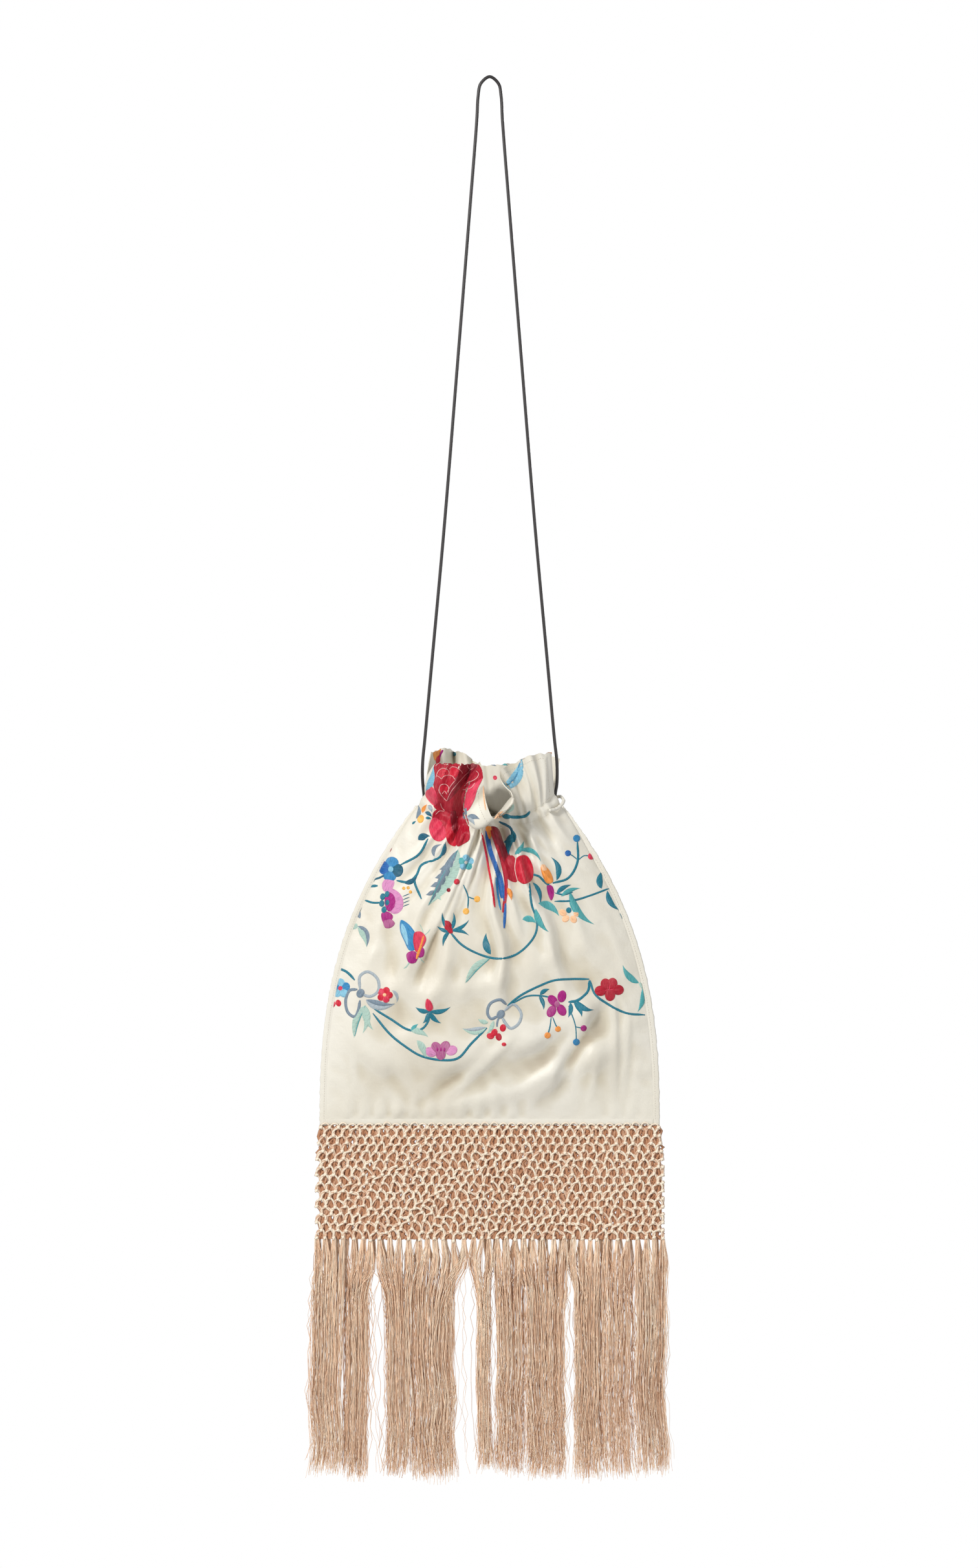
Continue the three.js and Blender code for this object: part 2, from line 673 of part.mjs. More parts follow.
function netGeometry(facing) {
  const outline = new THREE.Shape([
    new THREE.Vector2(-bottomHalfWidth, netTop),
    new THREE.Vector2(-netHalfWidth, netFullBelow),
    new THREE.Vector2(-netHalfWidth, netBottom),
    new THREE.Vector2(netHalfWidth, netBottom),
    new THREE.Vector2(netHalfWidth, netFullBelow),
    new THREE.Vector2(bottomHalfWidth, netTop),
  ]);
  const halfPitch = (bottomHalfWidth - netBarWidth / 2) / netMeshColumns;
  const rowPitch = (netHeight - netBarWidth) / (netMeshRows + 1);
  const toBar = (halfPitch * rowPitch) / Math.hypot(halfPitch, rowPitch);
  const open = (toBar - netBarWidth / 2) / toBar;
  for (let row = 0; row < netMeshRows; row += 1) {
    const level = netTop - netBarWidth / 2 - (row + 1) * rowPitch;
    const meshes = netMeshColumns - (row % 2);
    for (let column = 0; column < meshes; column += 1) {
      const centre = (2 * column + 1 - meshes) * halfPitch;
      const corners = [
        [halfPitch * open, 0],
        [0, -rowPitch * open],
        [-halfPitch * open, 0],
        [0, rowPitch * open],
      ];
      outline.holes.push(
        new THREE.Path(corners.map(([x, z]) => new THREE.Vector2(centre + x, level + z))),
      );
    }
  }
  const geometry = new THREE.ExtrudeGeometry(outline, { depth: netThickness, bevelEnabled: false });
  geometry.rotateX(Math.PI / 2); // the outline's second axis becomes +Z, and depth runs to -Y
  geometry.translate(0, facing < 0 ? -clearance / 2 : clearance / 2 + netThickness, 0);
  return rippled(geometry);
}

addPiece("net_front", netGeometry(-1), knotted);
addPiece("net_back", netGeometry(1), knotted);

// The fringe: locks of silk that spread from one head of knots
function lockGeometry(lock, facing) {
  const middle = (facing * (clearance + fringeThickness)) / 2;
  const rings = lockWidths.map((width, k) => {
    const down = k / (lockWidths.length - 1);
    const hanging = lock.drop * fringeLength + fringeHeadHeight / 2;
    const level = fringeTop - fringeHeadHeight / 2 - down * hanging;
    const spread = netHalfWidth * mix(1, fringeFlare, down);
    const centre = ((lock.from + lock.to) / 2) * spread + lock.drift * fringeLength * down ** 2;
    const half = ((lock.to - lock.from) / 2) * spread * width;
    const halfThickness = (fringeThickness / 2) * lockFlatness;
    return lockSection
      .map(([x, y]) => new THREE.Vector3(centre + x * half, middle + y * halfThickness, level))
      .reverse();
  });
  return loftGeometry(rings);
}

function fringeGeometry(locks, facing) {
  const head = new THREE.BoxGeometry(
    2 * netHalfWidth,
    fringeThickness,
    fringeHeadHeight,
    fringeHeadSteps,
  );
  head.translate(0, (facing * (clearance + fringeThickness)) / 2, fringeTop - fringeHeadHeight / 2);
  const fused = locks.reduce(
    (whole, lock) => whole.add(solidOf(lockGeometry(lock, facing))),
    solidOf(head),
  );
  return rippled(geometryOf(fused));
}

addPiece("fringe_front", fringeGeometry(frontLocks, -1), fringeSilk);
addPiece("fringe_back", fringeGeometry(backLocks, 1), fringeSilk);

export default group;
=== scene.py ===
# A silk drawstring pouch that hangs from a black cord: ivory silk embroidered with flowers in the
# manner of a shawl, a frilled heading above the gathers, a knotted net and a long fringe.
# Shapes are worked out in millimetres, in the part's own frame, and made in metres.

import bpy
import math
import numpy as np
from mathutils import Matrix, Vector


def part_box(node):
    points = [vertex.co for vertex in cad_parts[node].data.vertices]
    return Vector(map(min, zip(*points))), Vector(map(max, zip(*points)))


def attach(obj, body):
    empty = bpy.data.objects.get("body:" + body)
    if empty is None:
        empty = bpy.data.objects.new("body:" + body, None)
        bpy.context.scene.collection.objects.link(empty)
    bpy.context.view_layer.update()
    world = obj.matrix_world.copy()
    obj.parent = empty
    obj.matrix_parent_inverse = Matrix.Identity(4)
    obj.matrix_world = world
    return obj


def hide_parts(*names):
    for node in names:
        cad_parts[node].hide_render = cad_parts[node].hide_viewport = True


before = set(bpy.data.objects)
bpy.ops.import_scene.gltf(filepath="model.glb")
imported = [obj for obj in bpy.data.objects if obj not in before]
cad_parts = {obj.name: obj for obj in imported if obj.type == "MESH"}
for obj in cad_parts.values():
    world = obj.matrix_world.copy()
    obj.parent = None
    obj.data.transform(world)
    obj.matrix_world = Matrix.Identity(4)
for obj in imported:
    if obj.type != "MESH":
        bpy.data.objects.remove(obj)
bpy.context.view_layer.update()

MM = 0.001


def node_box(node):
    """A node's lowest and highest corners in millimetres."""
    low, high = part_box(node)
    return np.array(low) / MM, np.array(high) / MM


# Sizes taken from the frame
_, seam_high = node_box("side_seam_right")
bottom_low, bottom_high = node_box("bottom_seam")
net_low, net_high = node_box("net_front")
BOTTOM_LEVEL = bottom_low[2]
BOTTOM_HALF_WIDTH = seam_high[0]
SEAM_WIDTH = bottom_high[2] - bottom_low[2]
SEAM_THICKNESS = bottom_high[1] - bottom_low[1]
NET_TOP = net_high[2]
NET_BOTTOM = net_low[2]
NET_HALF_WIDTH = net_high[0]

# Sizes repeated from the part
CLEARANCE = 0.3
CORD_DIAMETER = 2.5
CORD_ROOM = 0.9
CLOTH_THICKNESS = 0.7
PART_CLOTH_THICKNESS = 1.2
NECK_HALF_WIDTH = 50
NECK_HALF_DEPTH = 14
POUCH_HEIGHT = 256
EXIT_LEVEL = BOTTOM_LEVEL + POUCH_HEIGHT
FULLNESS = 20
HEADING_HEIGHT = 38
FRONT_SAG = 17
BACK_SAG = 8
CASING_HEIGHT = 9
FRINGE_LENGTH = 178
NET_RIPPLE = 2
RIPPLE_GROWS_TO = 1.6
RIPPLE_TURNS = 5.2
RIPPLE_START = 0.6

PANEL_START = (SEAM_WIDTH + CLEARANCE) / POUCH_HEIGHT
OUTLINE_POWER = 2.6
FULLEST_AT = 0.5
BELLY_POWER = 1.1
NECK_BLEND_FROM = 0.6
SEAM_NARROWS_FROM = 0.8
SEAM_END_SHARE = 0.35
SLIT_OPENS_AT = 0.965
SLIT_OPEN_BY = 0.99
SIDE_ROUNDING = 0.85
NECK_ROUNDING = 0.5
SIDE_FADE = 6
FOLDS_START_OVER = 0.15
FOLD_TAPER = 0.7
FOLDS_FADE_FROM = 0.94
FOLDS_FADE_TO = 0.985


# The camera: level with the middle of the photograph, square to the front
PHOTO_WIDTH = 1512
PHOTO_HEIGHT = 2423
MM_PER_PIXEL = 0.5
HANG_PIXEL = (757, 121)
CAMERA_DISTANCE = 4.0
SENSOR = 36


def add_camera():
    data = bpy.data.cameras.new("camera")
    camera = bpy.data.objects.new("camera", data)
    bpy.context.collection.objects.link(camera)
    x = (PHOTO_WIDTH / 2 - HANG_PIXEL[0]) * MM_PER_PIXEL * MM
    z = (HANG_PIXEL[1] - PHOTO_HEIGHT / 2) * MM_PER_PIXEL * MM
    camera.location = (x, -CAMERA_DISTANCE, z)
    camera.rotation_euler = (math.pi / 2, 0, 0)
    data.sensor_fit = "AUTO"
    data.sensor_width = SENSOR
    data.lens = SENSOR * CAMERA_DISTANCE / (PHOTO_HEIGHT * MM_PER_PIXEL * MM)
    data.clip_end = 50
    bpy.context.scene.camera = camera


add_camera()


# Shared maths
def mix(a, b, share):
    return a + (b - a) * share


def smooth(start, end, value):
    t = np.clip((value - start) / (end - start), 0, 1)
    return t * t * (3 - 2 * t)


def unit(vectors):
    return vectors / np.maximum(np.linalg.norm(vectors, axis=-1, keepdims=True), 1e-9)


def beside(lines):
    """Unit vectors square to flat lines, whose points follow each other on the last axis but one."""
    along = unit(np.gradient(lines, axis=-2))
    return np.stack([-along[..., 1], along[..., 0]], axis=-1)


def table_curve(rows, column, places):
    """One column of a table at places between its rows, on a smooth curve."""
    at = np.array([row[0] for row in rows], float)
    values = np.array([row[column] for row in rows], float)
    i = np.clip(np.searchsorted(at, places, side="left"), 1, len(at) - 1)
    before = np.maximum(i - 2, 0)
    after = np.minimum(i + 1, len(at) - 1)
    span = at[i] - at[i - 1]
    t = (places - at[i - 1]) / span
    m0 = (values[i] - values[before]) / (at[i] - at[before]) * span
    m1 = (values[after] - values[i - 1]) / (at[after] - at[i - 1]) * span
    t2, t3 = t * t, t**3
    start = (2 * t3 - 3 * t2 + 1) * values[i - 1] + (t3 - 2 * t2 + t) * m0
    return start + (3 * t2 - 2 * t3) * values[i] + (t3 - t2) * m1


def waves(places, count, longest, seed, shortest=0.2):
    """Smooth irregular waves along a line, between about -1 and 1."""
    draw = np.random.default_rng(seed)
    total = np.zeros_like(places, dtype=float)
    for _ in range(count):
        length = longest * draw.uniform(shortest, 1)
        total += np.sin(2 * np.pi * places / length + draw.uniform(0, 2 * np.pi)) / count
    return total * 1.6


def spline(points, steps):
    """A centripetal Catmull-Rom curve through points, with steps points to each span."""
    p = np.array(points, float)
    ends = [2 * p[0] - p[1], *p, 2 * p[-1] - p[-2]]
    out = []
    for a, b, c, d in zip(ends, ends[1:], ends[2:], ends[3:]):
        t1 = np.sqrt(np.linalg.norm(b - a))
        t2 = t1 + np.sqrt(np.linalg.norm(c - b))
        t3 = t2 + np.sqrt(np.linalg.norm(d - c))
        t = np.linspace(t1, t2, steps, endpoint=False)[:, None]
        ab = (t1 - t) / t1 * a + t / t1 * b
        bc = (t2 - t) / (t2 - t1) * b + (t - t1) / (t2 - t1) * c
        cd = (t3 - t) / (t3 - t2) * c + (t - t2) / (t3 - t2) * d
        abc = (t2 - t) / t2 * ab + t / t2 * bc
        bcd = (t3 - t) / (t3 - t1) * bc + (t - t1) / (t3 - t1) * cd
        out.append((t2 - t) / (t2 - t1) * abc + (t - t1) / (t2 - t1) * bcd)
    return np.vstack([*out, p[-1:]])


# Mesh making
def add_mesh(name, points, faces, materials, indices=None, uv=None, values=None):
    """A smooth-shaded mesh object from points in millimetres."""
    mesh = bpy.data.meshes.new(name)
    faces = faces.tolist() if isinstance(faces, np.ndarray) else faces
    mesh.from_pydata((np.asarray(points) * MM).tolist(), [], faces)
    for material in materials:
        mesh.materials.append(material)
    if indices is not None:
        mesh.polygons.foreach_set("material_index", np.asarray(indices, np.int32))
    mesh.polygons.foreach_set("use_smooth", np.ones(len(mesh.polygons), bool))
    if uv is not None:
        corners = np.empty(len(mesh.loops), np.int32)
        mesh.loops.foreach_get("vertex_index", corners)
        layer = mesh.uv_layers.new(name="threads")
        layer.data.foreach_set("uv", np.asarray(uv, np.float32)[corners].ravel())
    for key, data in (values or {}).items():
        attribute = mesh.attributes.new(key, "FLOAT", "POINT")
        attribute.data.foreach_set("value", np.asarray(data, np.float32))
    obj = bpy.data.objects.new(name, mesh)
    bpy.context.collection.objects.link(obj)
    return obj


def dress(obj, slot, *nodes):
    """Hangs a piece under the root body and hides the nodes it stands for; slot is not used."""
    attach(obj, "root")
    if nodes:
        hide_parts(*nodes)
    return obj


def grid_faces(rows, columns, start=0, flip=False):
    j, i = np.meshgrid(np.arange(rows - 1), np.arange(columns - 1), indexing="ij")
    a = (start + j * columns + i).ravel()
    quads = np.stack([a, a + 1, a + columns + 1, a + columns], axis=1)
    return quads[:, ::-1] if flip else quads


def tubes(centres, radii, sides, caps=True):
    """Points and faces of many tubes at once. centres is (tubes, steps, 3)."""
    count, steps, _ = centres.shape
    along = unit(np.gradient(centres, axis=1))
    level = np.zeros_like(along)
    level[..., 1] = 1
    steep = np.abs(along[..., 1:2]) > 0.9
    level = np.where(steep, np.array([1.0, 0, 0]), level)
    first = unit(np.cross(along, level))
    second = np.cross(along, first)
    turn = 2 * np.pi * np.arange(sides) / sides
    radii = np.broadcast_to(np.asarray(radii, float), (count, steps))[..., None, None]
    ring = np.cos(turn)[:, None] * first[:, :, None] + np.sin(turn)[:, None] * second[:, :, None]
    points = centres[:, :, None] + radii * ring
    t, k, s = np.meshgrid(np.arange(count), np.arange(steps - 1), np.arange(sides), indexing="ij")
    base = t * steps * sides + k * sides
    nxt = (s + 1) % sides
    faces = np.stack([base + s, base + sides + s, base + sides + nxt, base + nxt], axis=-1)
    faces = faces.reshape(-1, 4).tolist()
    if caps:
        for start in range(0, count * steps * sides, steps * sides):
            end = start + (steps - 1) * sides
            faces.append(list(range(start, start + sides)))
            faces.append(list(range(end + sides - 1, end - 1, -1)))
    return points.reshape(-1, 3), faces


def add_tubes(name, centres, radii, sides, materials, values=None, caps=True):
    points, faces = tubes(np.asarray(centres, float), radii, sides, caps)
    spread = {key: np.repeat(np.ravel(data), sides) for key, data in (values or {}).items()}
    return add_mesh(name, points, faces, materials, values=spread)


# Materials
class NodeTree:
    """Adds nodes to the tree of a material or of the world."""

    def __init__(self, tree):
        self.tree = tree

    def add(self, kind, **inputs):
        """A node, with each input given a value or linked to a socket."""
        node = self.tree.nodes.new(kind)
        for key, value in inputs.items():
            self.give(node.inputs[key], value)
        return node

    def give(self, target, value):
        if isinstance(value, bpy.types.NodeSocket):
            self.tree.links.new(value, target)
        else:
            target.default_value = value

    def math(self, operation, *terms):
        node = self.add("ShaderNodeMath")
        node.operation = operation
        for target, term in zip(node.inputs, terms):
            self.give(target, term)
        return node.outputs["Value"]

    def tones(self, level, stops):
        """A colour taken from a ramp of stops, at a level from 0 to 1."""
        node = self.add("ShaderNodeValToRGB", Fac=level)
        elements = node.color_ramp.elements
        while len(elements) < len(stops):
            elements.new(0.5)
        for element, (place, colour) in zip(elements, stops):
            element.position = place
            element.color = (*colour, 1)
        return node.outputs["Color"]


class Surface(NodeTree):
    """A material: a plain shader, to which a varied colour and layers of relief are added.

    Its pattern lies on the object's own coordinates, or on a UV map.
    """

    def __init__(self, name, colour, roughness, sheen=0.0, sheen_roughness=0.4, specular=0.5, uv=None):
        self.material = bpy.data.materials.new(name)
        self.material.use_nodes = True
        super().__init__(self.material.node_tree)
        self.shader = self.tree.nodes["Principled BSDF"].inputs
        self.shader["Base Color"].default_value = (*colour, 1)
        self.shader["Roughness"].default_value = roughness
        self.shader["Sheen Weight"].default_value = sheen
        self.shader["Sheen Roughness"].default_value = sheen_roughness
        self.shader["Specular IOR Level"].default_value = specular
        if uv:
            node = self.add("ShaderNodeUVMap")
            node.uv_map = uv
            self.place = node.outputs["UV"]
        else:
            self.place = self.add("ShaderNodeTexCoord").outputs["Object"]
        self.relief = None

    def attribute(self, name):
        node = self.add("ShaderNodeAttribute")
        node.attribute_name = name
        return node.outputs["Fac"]

    def noise(self, scale, detail=2.0, roughness=0.5, place=None):
        vector = place or self.place
        node = self.add("ShaderNodeTexNoise", Vector=vector, Scale=scale, Detail=detail, Roughness=roughness)
        return node.outputs["Fac"]

    def streaks(self, stretch):
        """Noise with its own scale in each direction."""
        mapping = self.add("ShaderNodeMapping", Vector=self.place, Scale=stretch)
        return self.noise(1, place=mapping.outputs["Vector"])

    def varied(self, value, variation, amount):
        """A value that a noise moves up and down by half of an amount."""
        return self.math("MULTIPLY_ADD", variation, amount, self.math("SUBTRACT", value, amount / 2))

    def colour(self, level, stops):
        self.give(self.shader["Base Color"], self.tones(level, stops))

    def emboss(self, height, strength, distance):
        """Relief laid over what the surface has so far."""
        node = self.add("ShaderNodeBump", Height=height, Strength=strength, Distance=distance)
        if self.relief:
            self.give(node.inputs["Normal"], self.relief)
        self.relief = node.outputs["Normal"]
        self.give(self.shader["Normal"], self.relief)


SILK = (0.705, 0.675, 0.59)
SILK_SHADE = (0.65, 0.605, 0.505)
SILK_LIGHT = (0.735, 0.71, 0.64)
# painted shade: colours multiplied into the silk in the hollows between its folds and in its deepest creases
HOLLOW_PAINTED_SHADE = (0.87, 0.84, 0.775)
CREASE_PAINTED_SHADE = (0.6, 0.53, 0.44)
WHITE = (1, 1, 1)


def silk_material():
    """Ivory plain-weave silk: fine ribs across, slubs, patches of yellow, and painted shade in the hollows
    between its folds.
    """
    cloth = Surface("silk", SILK, 0.45, sheen=0.3, sheen_roughness=0.35, specular=0.45)
    base = cloth.tones(cloth.noise(9, 3), [(0.3, SILK_SHADE), (0.5, SILK), (0.72, SILK_LIGHT)])
    # painted shade: hollows between folds, measured from the cloth's shape, darken the silk's colour; crests
    # keep it
    level = cloth.add("ShaderNodeMapRange", Value=cloth.attribute("hollow_shade"))
    level.inputs["From Min"].default_value = -1
    stops = [(0.5, WHITE), (0.8, HOLLOW_PAINTED_SHADE), (1, CREASE_PAINTED_SHADE)]
    painted_shade_mix = cloth.add("ShaderNodeMix")
    painted_shade_mix.data_type = "RGBA"
    painted_shade_mix.blend_type = "MULTIPLY"
    cloth.give(painted_shade_mix.inputs["Factor"], 1)
    cloth.give(painted_shade_mix.inputs["A"], base)
    cloth.give(painted_shade_mix.inputs["B"], cloth.tones(level.outputs["Result"], stops))
    cloth.give(cloth.shader["Base Color"], painted_shade_mix.outputs["Result"])
    cloth.emboss(cloth.noise(55, 4, 0.6), 0.55, 0.0014)
    cloth.emboss(cloth.streaks((140, 140, 2600)), 0.22, 0.00025)
    cloth.emboss(cloth.streaks((2600, 140, 140)), 0.16, 0.00025)
    return cloth.material


# painted shade deep in the knotting, the thread's middle colour, and painted highlight on its crests
NET_PAINTED_SHADE = (0.46, 0.22, 0.115)
NET_MIDDLE = (0.70, 0.47, 0.325)
NET_PAINTED_HIGHLIGHT = (0.86, 0.77, 0.63)


def net_material():
    """Twisted silk thread: painted highlight on its crests and painted rosy-brown shade where it lies deep
    in the knotting.
    """
    thread = Surface("net_thread", NET_MIDDLE, 0.55, sheen=0.2, specular=0.35)
    fibres = thread.noise(1300)
    level = thread.varied(thread.attribute("crest"), fibres, 0.5)
    thread.colour(level, [(0.05, NET_PAINTED_SHADE), (0.5, NET_MIDDLE), (0.92, NET_PAINTED_HIGHLIGHT)])
    thread.emboss(fibres, 0.5, 0.0003)
    return thread.material


STRAND_DARK = (0.60, 0.34, 0.20)
STRAND_MIDDLE = (0.90, 0.62, 0.42)
STRAND_LIGHT = (0.98, 0.85, 0.68)


def strand_material():
    """Loose silk strands: each its own colour of peach and tan, with a soft shine, and painted darker where
    they hang further in as painted shade.
    """
    strands = Surface("fringe_strand", STRAND_MIDDLE, 0.42, sheen=0.25)
    streaks = strands.streaks((900, 900, 90))
    # the attribute holds each strand's own colour and painted shade on strands that hang further in
    level = strands.varied(strands.attribute("tone_and_shade"), streaks, 0.6)
    strands.colour(level, [(0.0, STRAND_DARK), (0.5, STRAND_MIDDLE), (1.0, STRAND_LIGHT)])
    strands.emboss(streaks, 0.3, 0.0002)
    return strands.material


CORD_BLACK = (0.018, 0.014, 0.016)
CORD_PLAIT_SHADE = (0.012, 0.009, 0.010)
CORD_PLAIT_HIGHLIGHT = (0.022, 0.018, 0.019)


def cord_material():
    """Smooth black cord with a fine plaited surface, painted darker in the plait's hollows and lighter on
    its crests as painted shade and highlight.
    """
    cord = Surface("black_cord", CORD_BLACK, 0.42, sheen=0.1, sheen_roughness=0.5)
    plait = cord.add("ShaderNodeTexWave", Vector=cord.place, Scale=420, Distortion=1.5)
    plait.bands_direction = "DIAGONAL"
    # painted shade in the plait's hollows and painted highlight on its crests
    cord.colour(plait.outputs["Fac"], [(0.2, CORD_PLAIT_SHADE), (0.8, CORD_PLAIT_HIGHLIGHT)])
    cord.emboss(plait.outputs["Fac"], 0.2, 0.0001)
    return cord.material


silk = silk_material()
net_thread = net_material()
strand = strand_material()
black = cord_material()


# The strap: the cord's route from its end in the left slit, over the hang point, to the right slit
CORD_ROUTE = [
    (-50.35, 0, -559),
    (-50.5, -0.2, -556),
    (-50.9, -0.5, -551.8),
    (-51.6, -0.8, -545.6),
    (-52.0, -1.0, -537),
    (-51.6, -1.0, -526),
    (-50.2, -0.8, -512),
    (-45.0, -0.5, -455),
    (-35.4, 0, -350),
    (-24.8, 0, -220),
    (-15.2, 0, -100),
    (-9.9, 0, -32),
    (-8.9, 0, -14),
    (-6.9, 0, -4.2),
    (0, 0, 1.25),
    (6.9, 0, -4.2),
    (8.9, 0, -14),
    (9.9, 0, -32),
    (15.2, 0, -100),
    (24.8, 0, -220),
    (35.4, 0, -350),
    (45.0, -0.5, -455),
    (50.2, -0.8, -512),
    (51.8, -1.0, -526),
    (52.2, -1.0, -537),
    (51.9, -0.8, -545.6),
    (50.9, -0.5, -551.8),
    (50.5, -0.2, -556),
    (50.35, 0, -559),
]
CORD_STEPS = 10


def add_strap():
    route = spline(CORD_ROUTE, CORD_STEPS) * MM
    data = bpy.data.curves.new("strap_cord_curve", "CURVE")
    data.dimensions = "3D"
    data.bevel_depth = CORD_DIAMETER / 2 * MM
    data.bevel_resolution = 4
    data.use_fill_caps = True
    line = data.splines.new("POLY")
    line.points.add(len(route) - 1)
    line.points.foreach_set("co", np.hstack([route, np.ones((len(route), 1))]).ravel())
    line.use_smooth = True
    data.materials.append(black)
    strap = bpy.data.objects.new("strap", data)
    bpy.context.collection.objects.link(strap)
    dress(strap, "cord", "strap_cord")


add_strap()


# Folds of the silk. across runs from -1 at the left seam to 1 at the right one and up from 0 at the
# bottom seam to 1 at the gathers; width and height are in millimetres, and edge narrows the
# fold's right-hand flank.
FRONT_FOLDS = [
    # across, up, to across, to up, width, height, edge
    (-0.19, 0.97, -0.47, 0.56, 14.5, 10.5, 0.2),
    (-0.07, 0.98, -0.25, 0.72, 7.2, 7.4, 0.38),
    (0.0, 0.96, 0.02, 0.7, 9.2, -4.6, 1),
    (0.1, 0.97, 0.22, 0.64, 7.0, 4.6, 0.5),
    (0.2, 0.95, 0.55, 0.72, 9.2, -2.8, 1),
    (-0.75, 0.62, -0.56, 0.34, 7.9, -3.2, 1),
    (-0.86, 0.5, -0.9, 0.08, 7.9, 2.4, 1),
    (-0.6, 0.15, -0.42, 0.02, 6.6, -2.8, 1),
    (-0.42, 0.07, -0.1, 0.2, 7.0, -3.0, 0.6),
    (0.1, 0.26, -0.22, 0.1, 6.0, 3.0, 0.5),
    (0.62, 0.34, 0.4, 0.18, 7.5, 3.4, 0.45),
    (0.4, 0.18, 0.2, 0.03, 6.5, 3.4, 0.5),
    (0.52, 0.2, 0.34, 0.03, 7.0, -3.2, 1),
    (0.8, 0.36, 0.76, 0.08, 6.0, 3.0, 0.45),
    (0.88, 0.32, 0.82, 0.1, 4.5, 2.2, 0.6),
    (-0.3, 0.97, -0.62, 0.7, 5.0, 2.4, 0.6),
    (-0.47, 0.96, -0.74, 0.76, 4.5, 3.0, 0.6),
    (-0.66, 0.95, -0.82, 0.8, 4.0, 1.6, 0.8),
    (0.3, 0.96, 0.62, 0.74, 5.0, 3.2, 0.55),
    (0.44, 0.95, 0.76, 0.8, 4.5, 2.0, 0.6),
    (0.6, 0.95, 0.86, 0.82, 4.0, 1.5, 0.7),
    (0.26, 0.96, 0.44, 0.58, 6.0, 3.4, 0.4),
    (-0.13, 0.97, -0.33, 0.58, 3.2, -2.6, 1),
    (0.04, 0.97, 0.12, 0.72, 3.0, 2.2, 0.8),
    (0.16, 0.8, 0.3, 0.42, 9.0, 2.4, 0.8),
    (0.46, 0.72, 0.6, 0.38, 9.0, -2.2, 1),
    (0.9, 0.62, 0.94, 0.24, 5.0, 1.5, 1),
    (-0.3, 0.56, -0.52, 0.3, 12.0, 2.2, 1),
    (-0.42, 0.6, -0.46, 0.42, 5.0, -2.0, 1),
    (-0.93, 0.74, -0.9, 0.52, 5.0, -1.4, 1),
    (-0.24, 0.2, -0.44, 0.12, 5.0, 1.8, 1),
    (0.66, 0.2, 0.6, 0.03, 4.0, 1.8, 0.8),
    (0.92, 0.18, 0.88, 0.02, 4.0, 1.4, 1),
    (-0.84, 0.2, -0.8, 0.02, 4.5, 1.5, 1),
    (0.02, 0.12, 0.04, 0.01, 4.0, 0.9, 1),
]
BACK_FOLDS = [
    (-0.3, 0.96, -0.5, 0.6, 10.5, 4.0, 1),
    (0.1, 0.96, 0.12, 0.62, 10.5, -3.6, 1),
    (0.36, 0.96, 0.6, 0.62, 10.5, 3.6, 1),
    (-0.6, 0.3, -0.2, 0.06, 9.2, -3.2, 1),
    (0.7, 0.32, 0.3, 0.05, 9.2, -3.2, 1),
    (-0.12, 0.97, -0.26, 0.66, 5.0, 2.6, 0.6),
    (0.22, 0.97, 0.34, 0.62, 5.0, 2.4, 0.6),
    (-0.5, 0.95, -0.74, 0.76, 4.5, 2.0, 0.7),
    (0.56, 0.95, 0.8, 0.78, 4.5, 2.0, 0.7),
    (0.0, 0.8, -0.1, 0.4, 8.0, 2.0, 1),
    (0.82, 0.5, 0.9, 0.1, 6.0, 2.0, 1),
    (-0.84, 0.5, -0.9, 0.1, 6.0, 2.0, 1),
    (0.1, 0.18, 0.0, 0.02, 6.0, -1.8, 1),
]

# The heading, at places across the gathers: where the cloth bulges (crest) and where its hem ends,
# from the gathers, as shares of the heading's height. out is away from the pouch's middle.
FRONT_HEADING = [
    # across, crest across, crest rise, crest out, hem across, hem rise, hem out
    (-1.0, -0.05, 0.3, 0.35, 0.2, 0.62, 0.15),
    (-0.8, 0.0, 0.45, 0.55, 0.17, 0.88, 0.3),
    (-0.6, -0.05, 0.5, 0.5, 0.17, 1.0, 0.35),
    (-0.42, 0.0, 0.5, 0.2, 0.17, 1.04, 0.1),
    (-0.35, -0.1, 0.45, 0.3, 0.19, 1.06, 0.16),
    (-0.29, -0.34, 0.1, 0.72, 0.2, 1.06, 0.28),
    (-0.18, -0.56, -0.2, 0.95, 0.12, 0.68, 0.6),
    (-0.08, -0.62, -0.5, 0.95, 0.03, 0.32, 0.75),
    (0.02, -0.45, -0.5, 0.85, 0.04, -0.03, 0.75),
    (0.14, -0.05, 0.1, 0.6, 0.13, 0.1, 0.7),
    (0.24, 0.08, 0.5, 0.42, 0.14, 0.26, 0.66),
    (0.34, 0.08, 0.5, 0.25, 0.0, 0.44, 0.54),
    (0.44, -0.08, 0.42, 0.2, -0.36, 0.75, 0.36),
    (0.54, -0.1, 0.5, 0.05, -0.45, 0.94, 0.1),
    (0.64, 0.0, 0.5, 0.1, -0.33, 1.0, 0.02),
    (0.76, 0.0, 0.5, 0.2, -0.25, 1.06, 0.12),
    (0.88, 0.0, 0.5, 0.15, -0.1, 1.0, 0.05),
    (1.0, -0.04, 0.45, 0.12, -0.06, 0.85, 0.05),
]
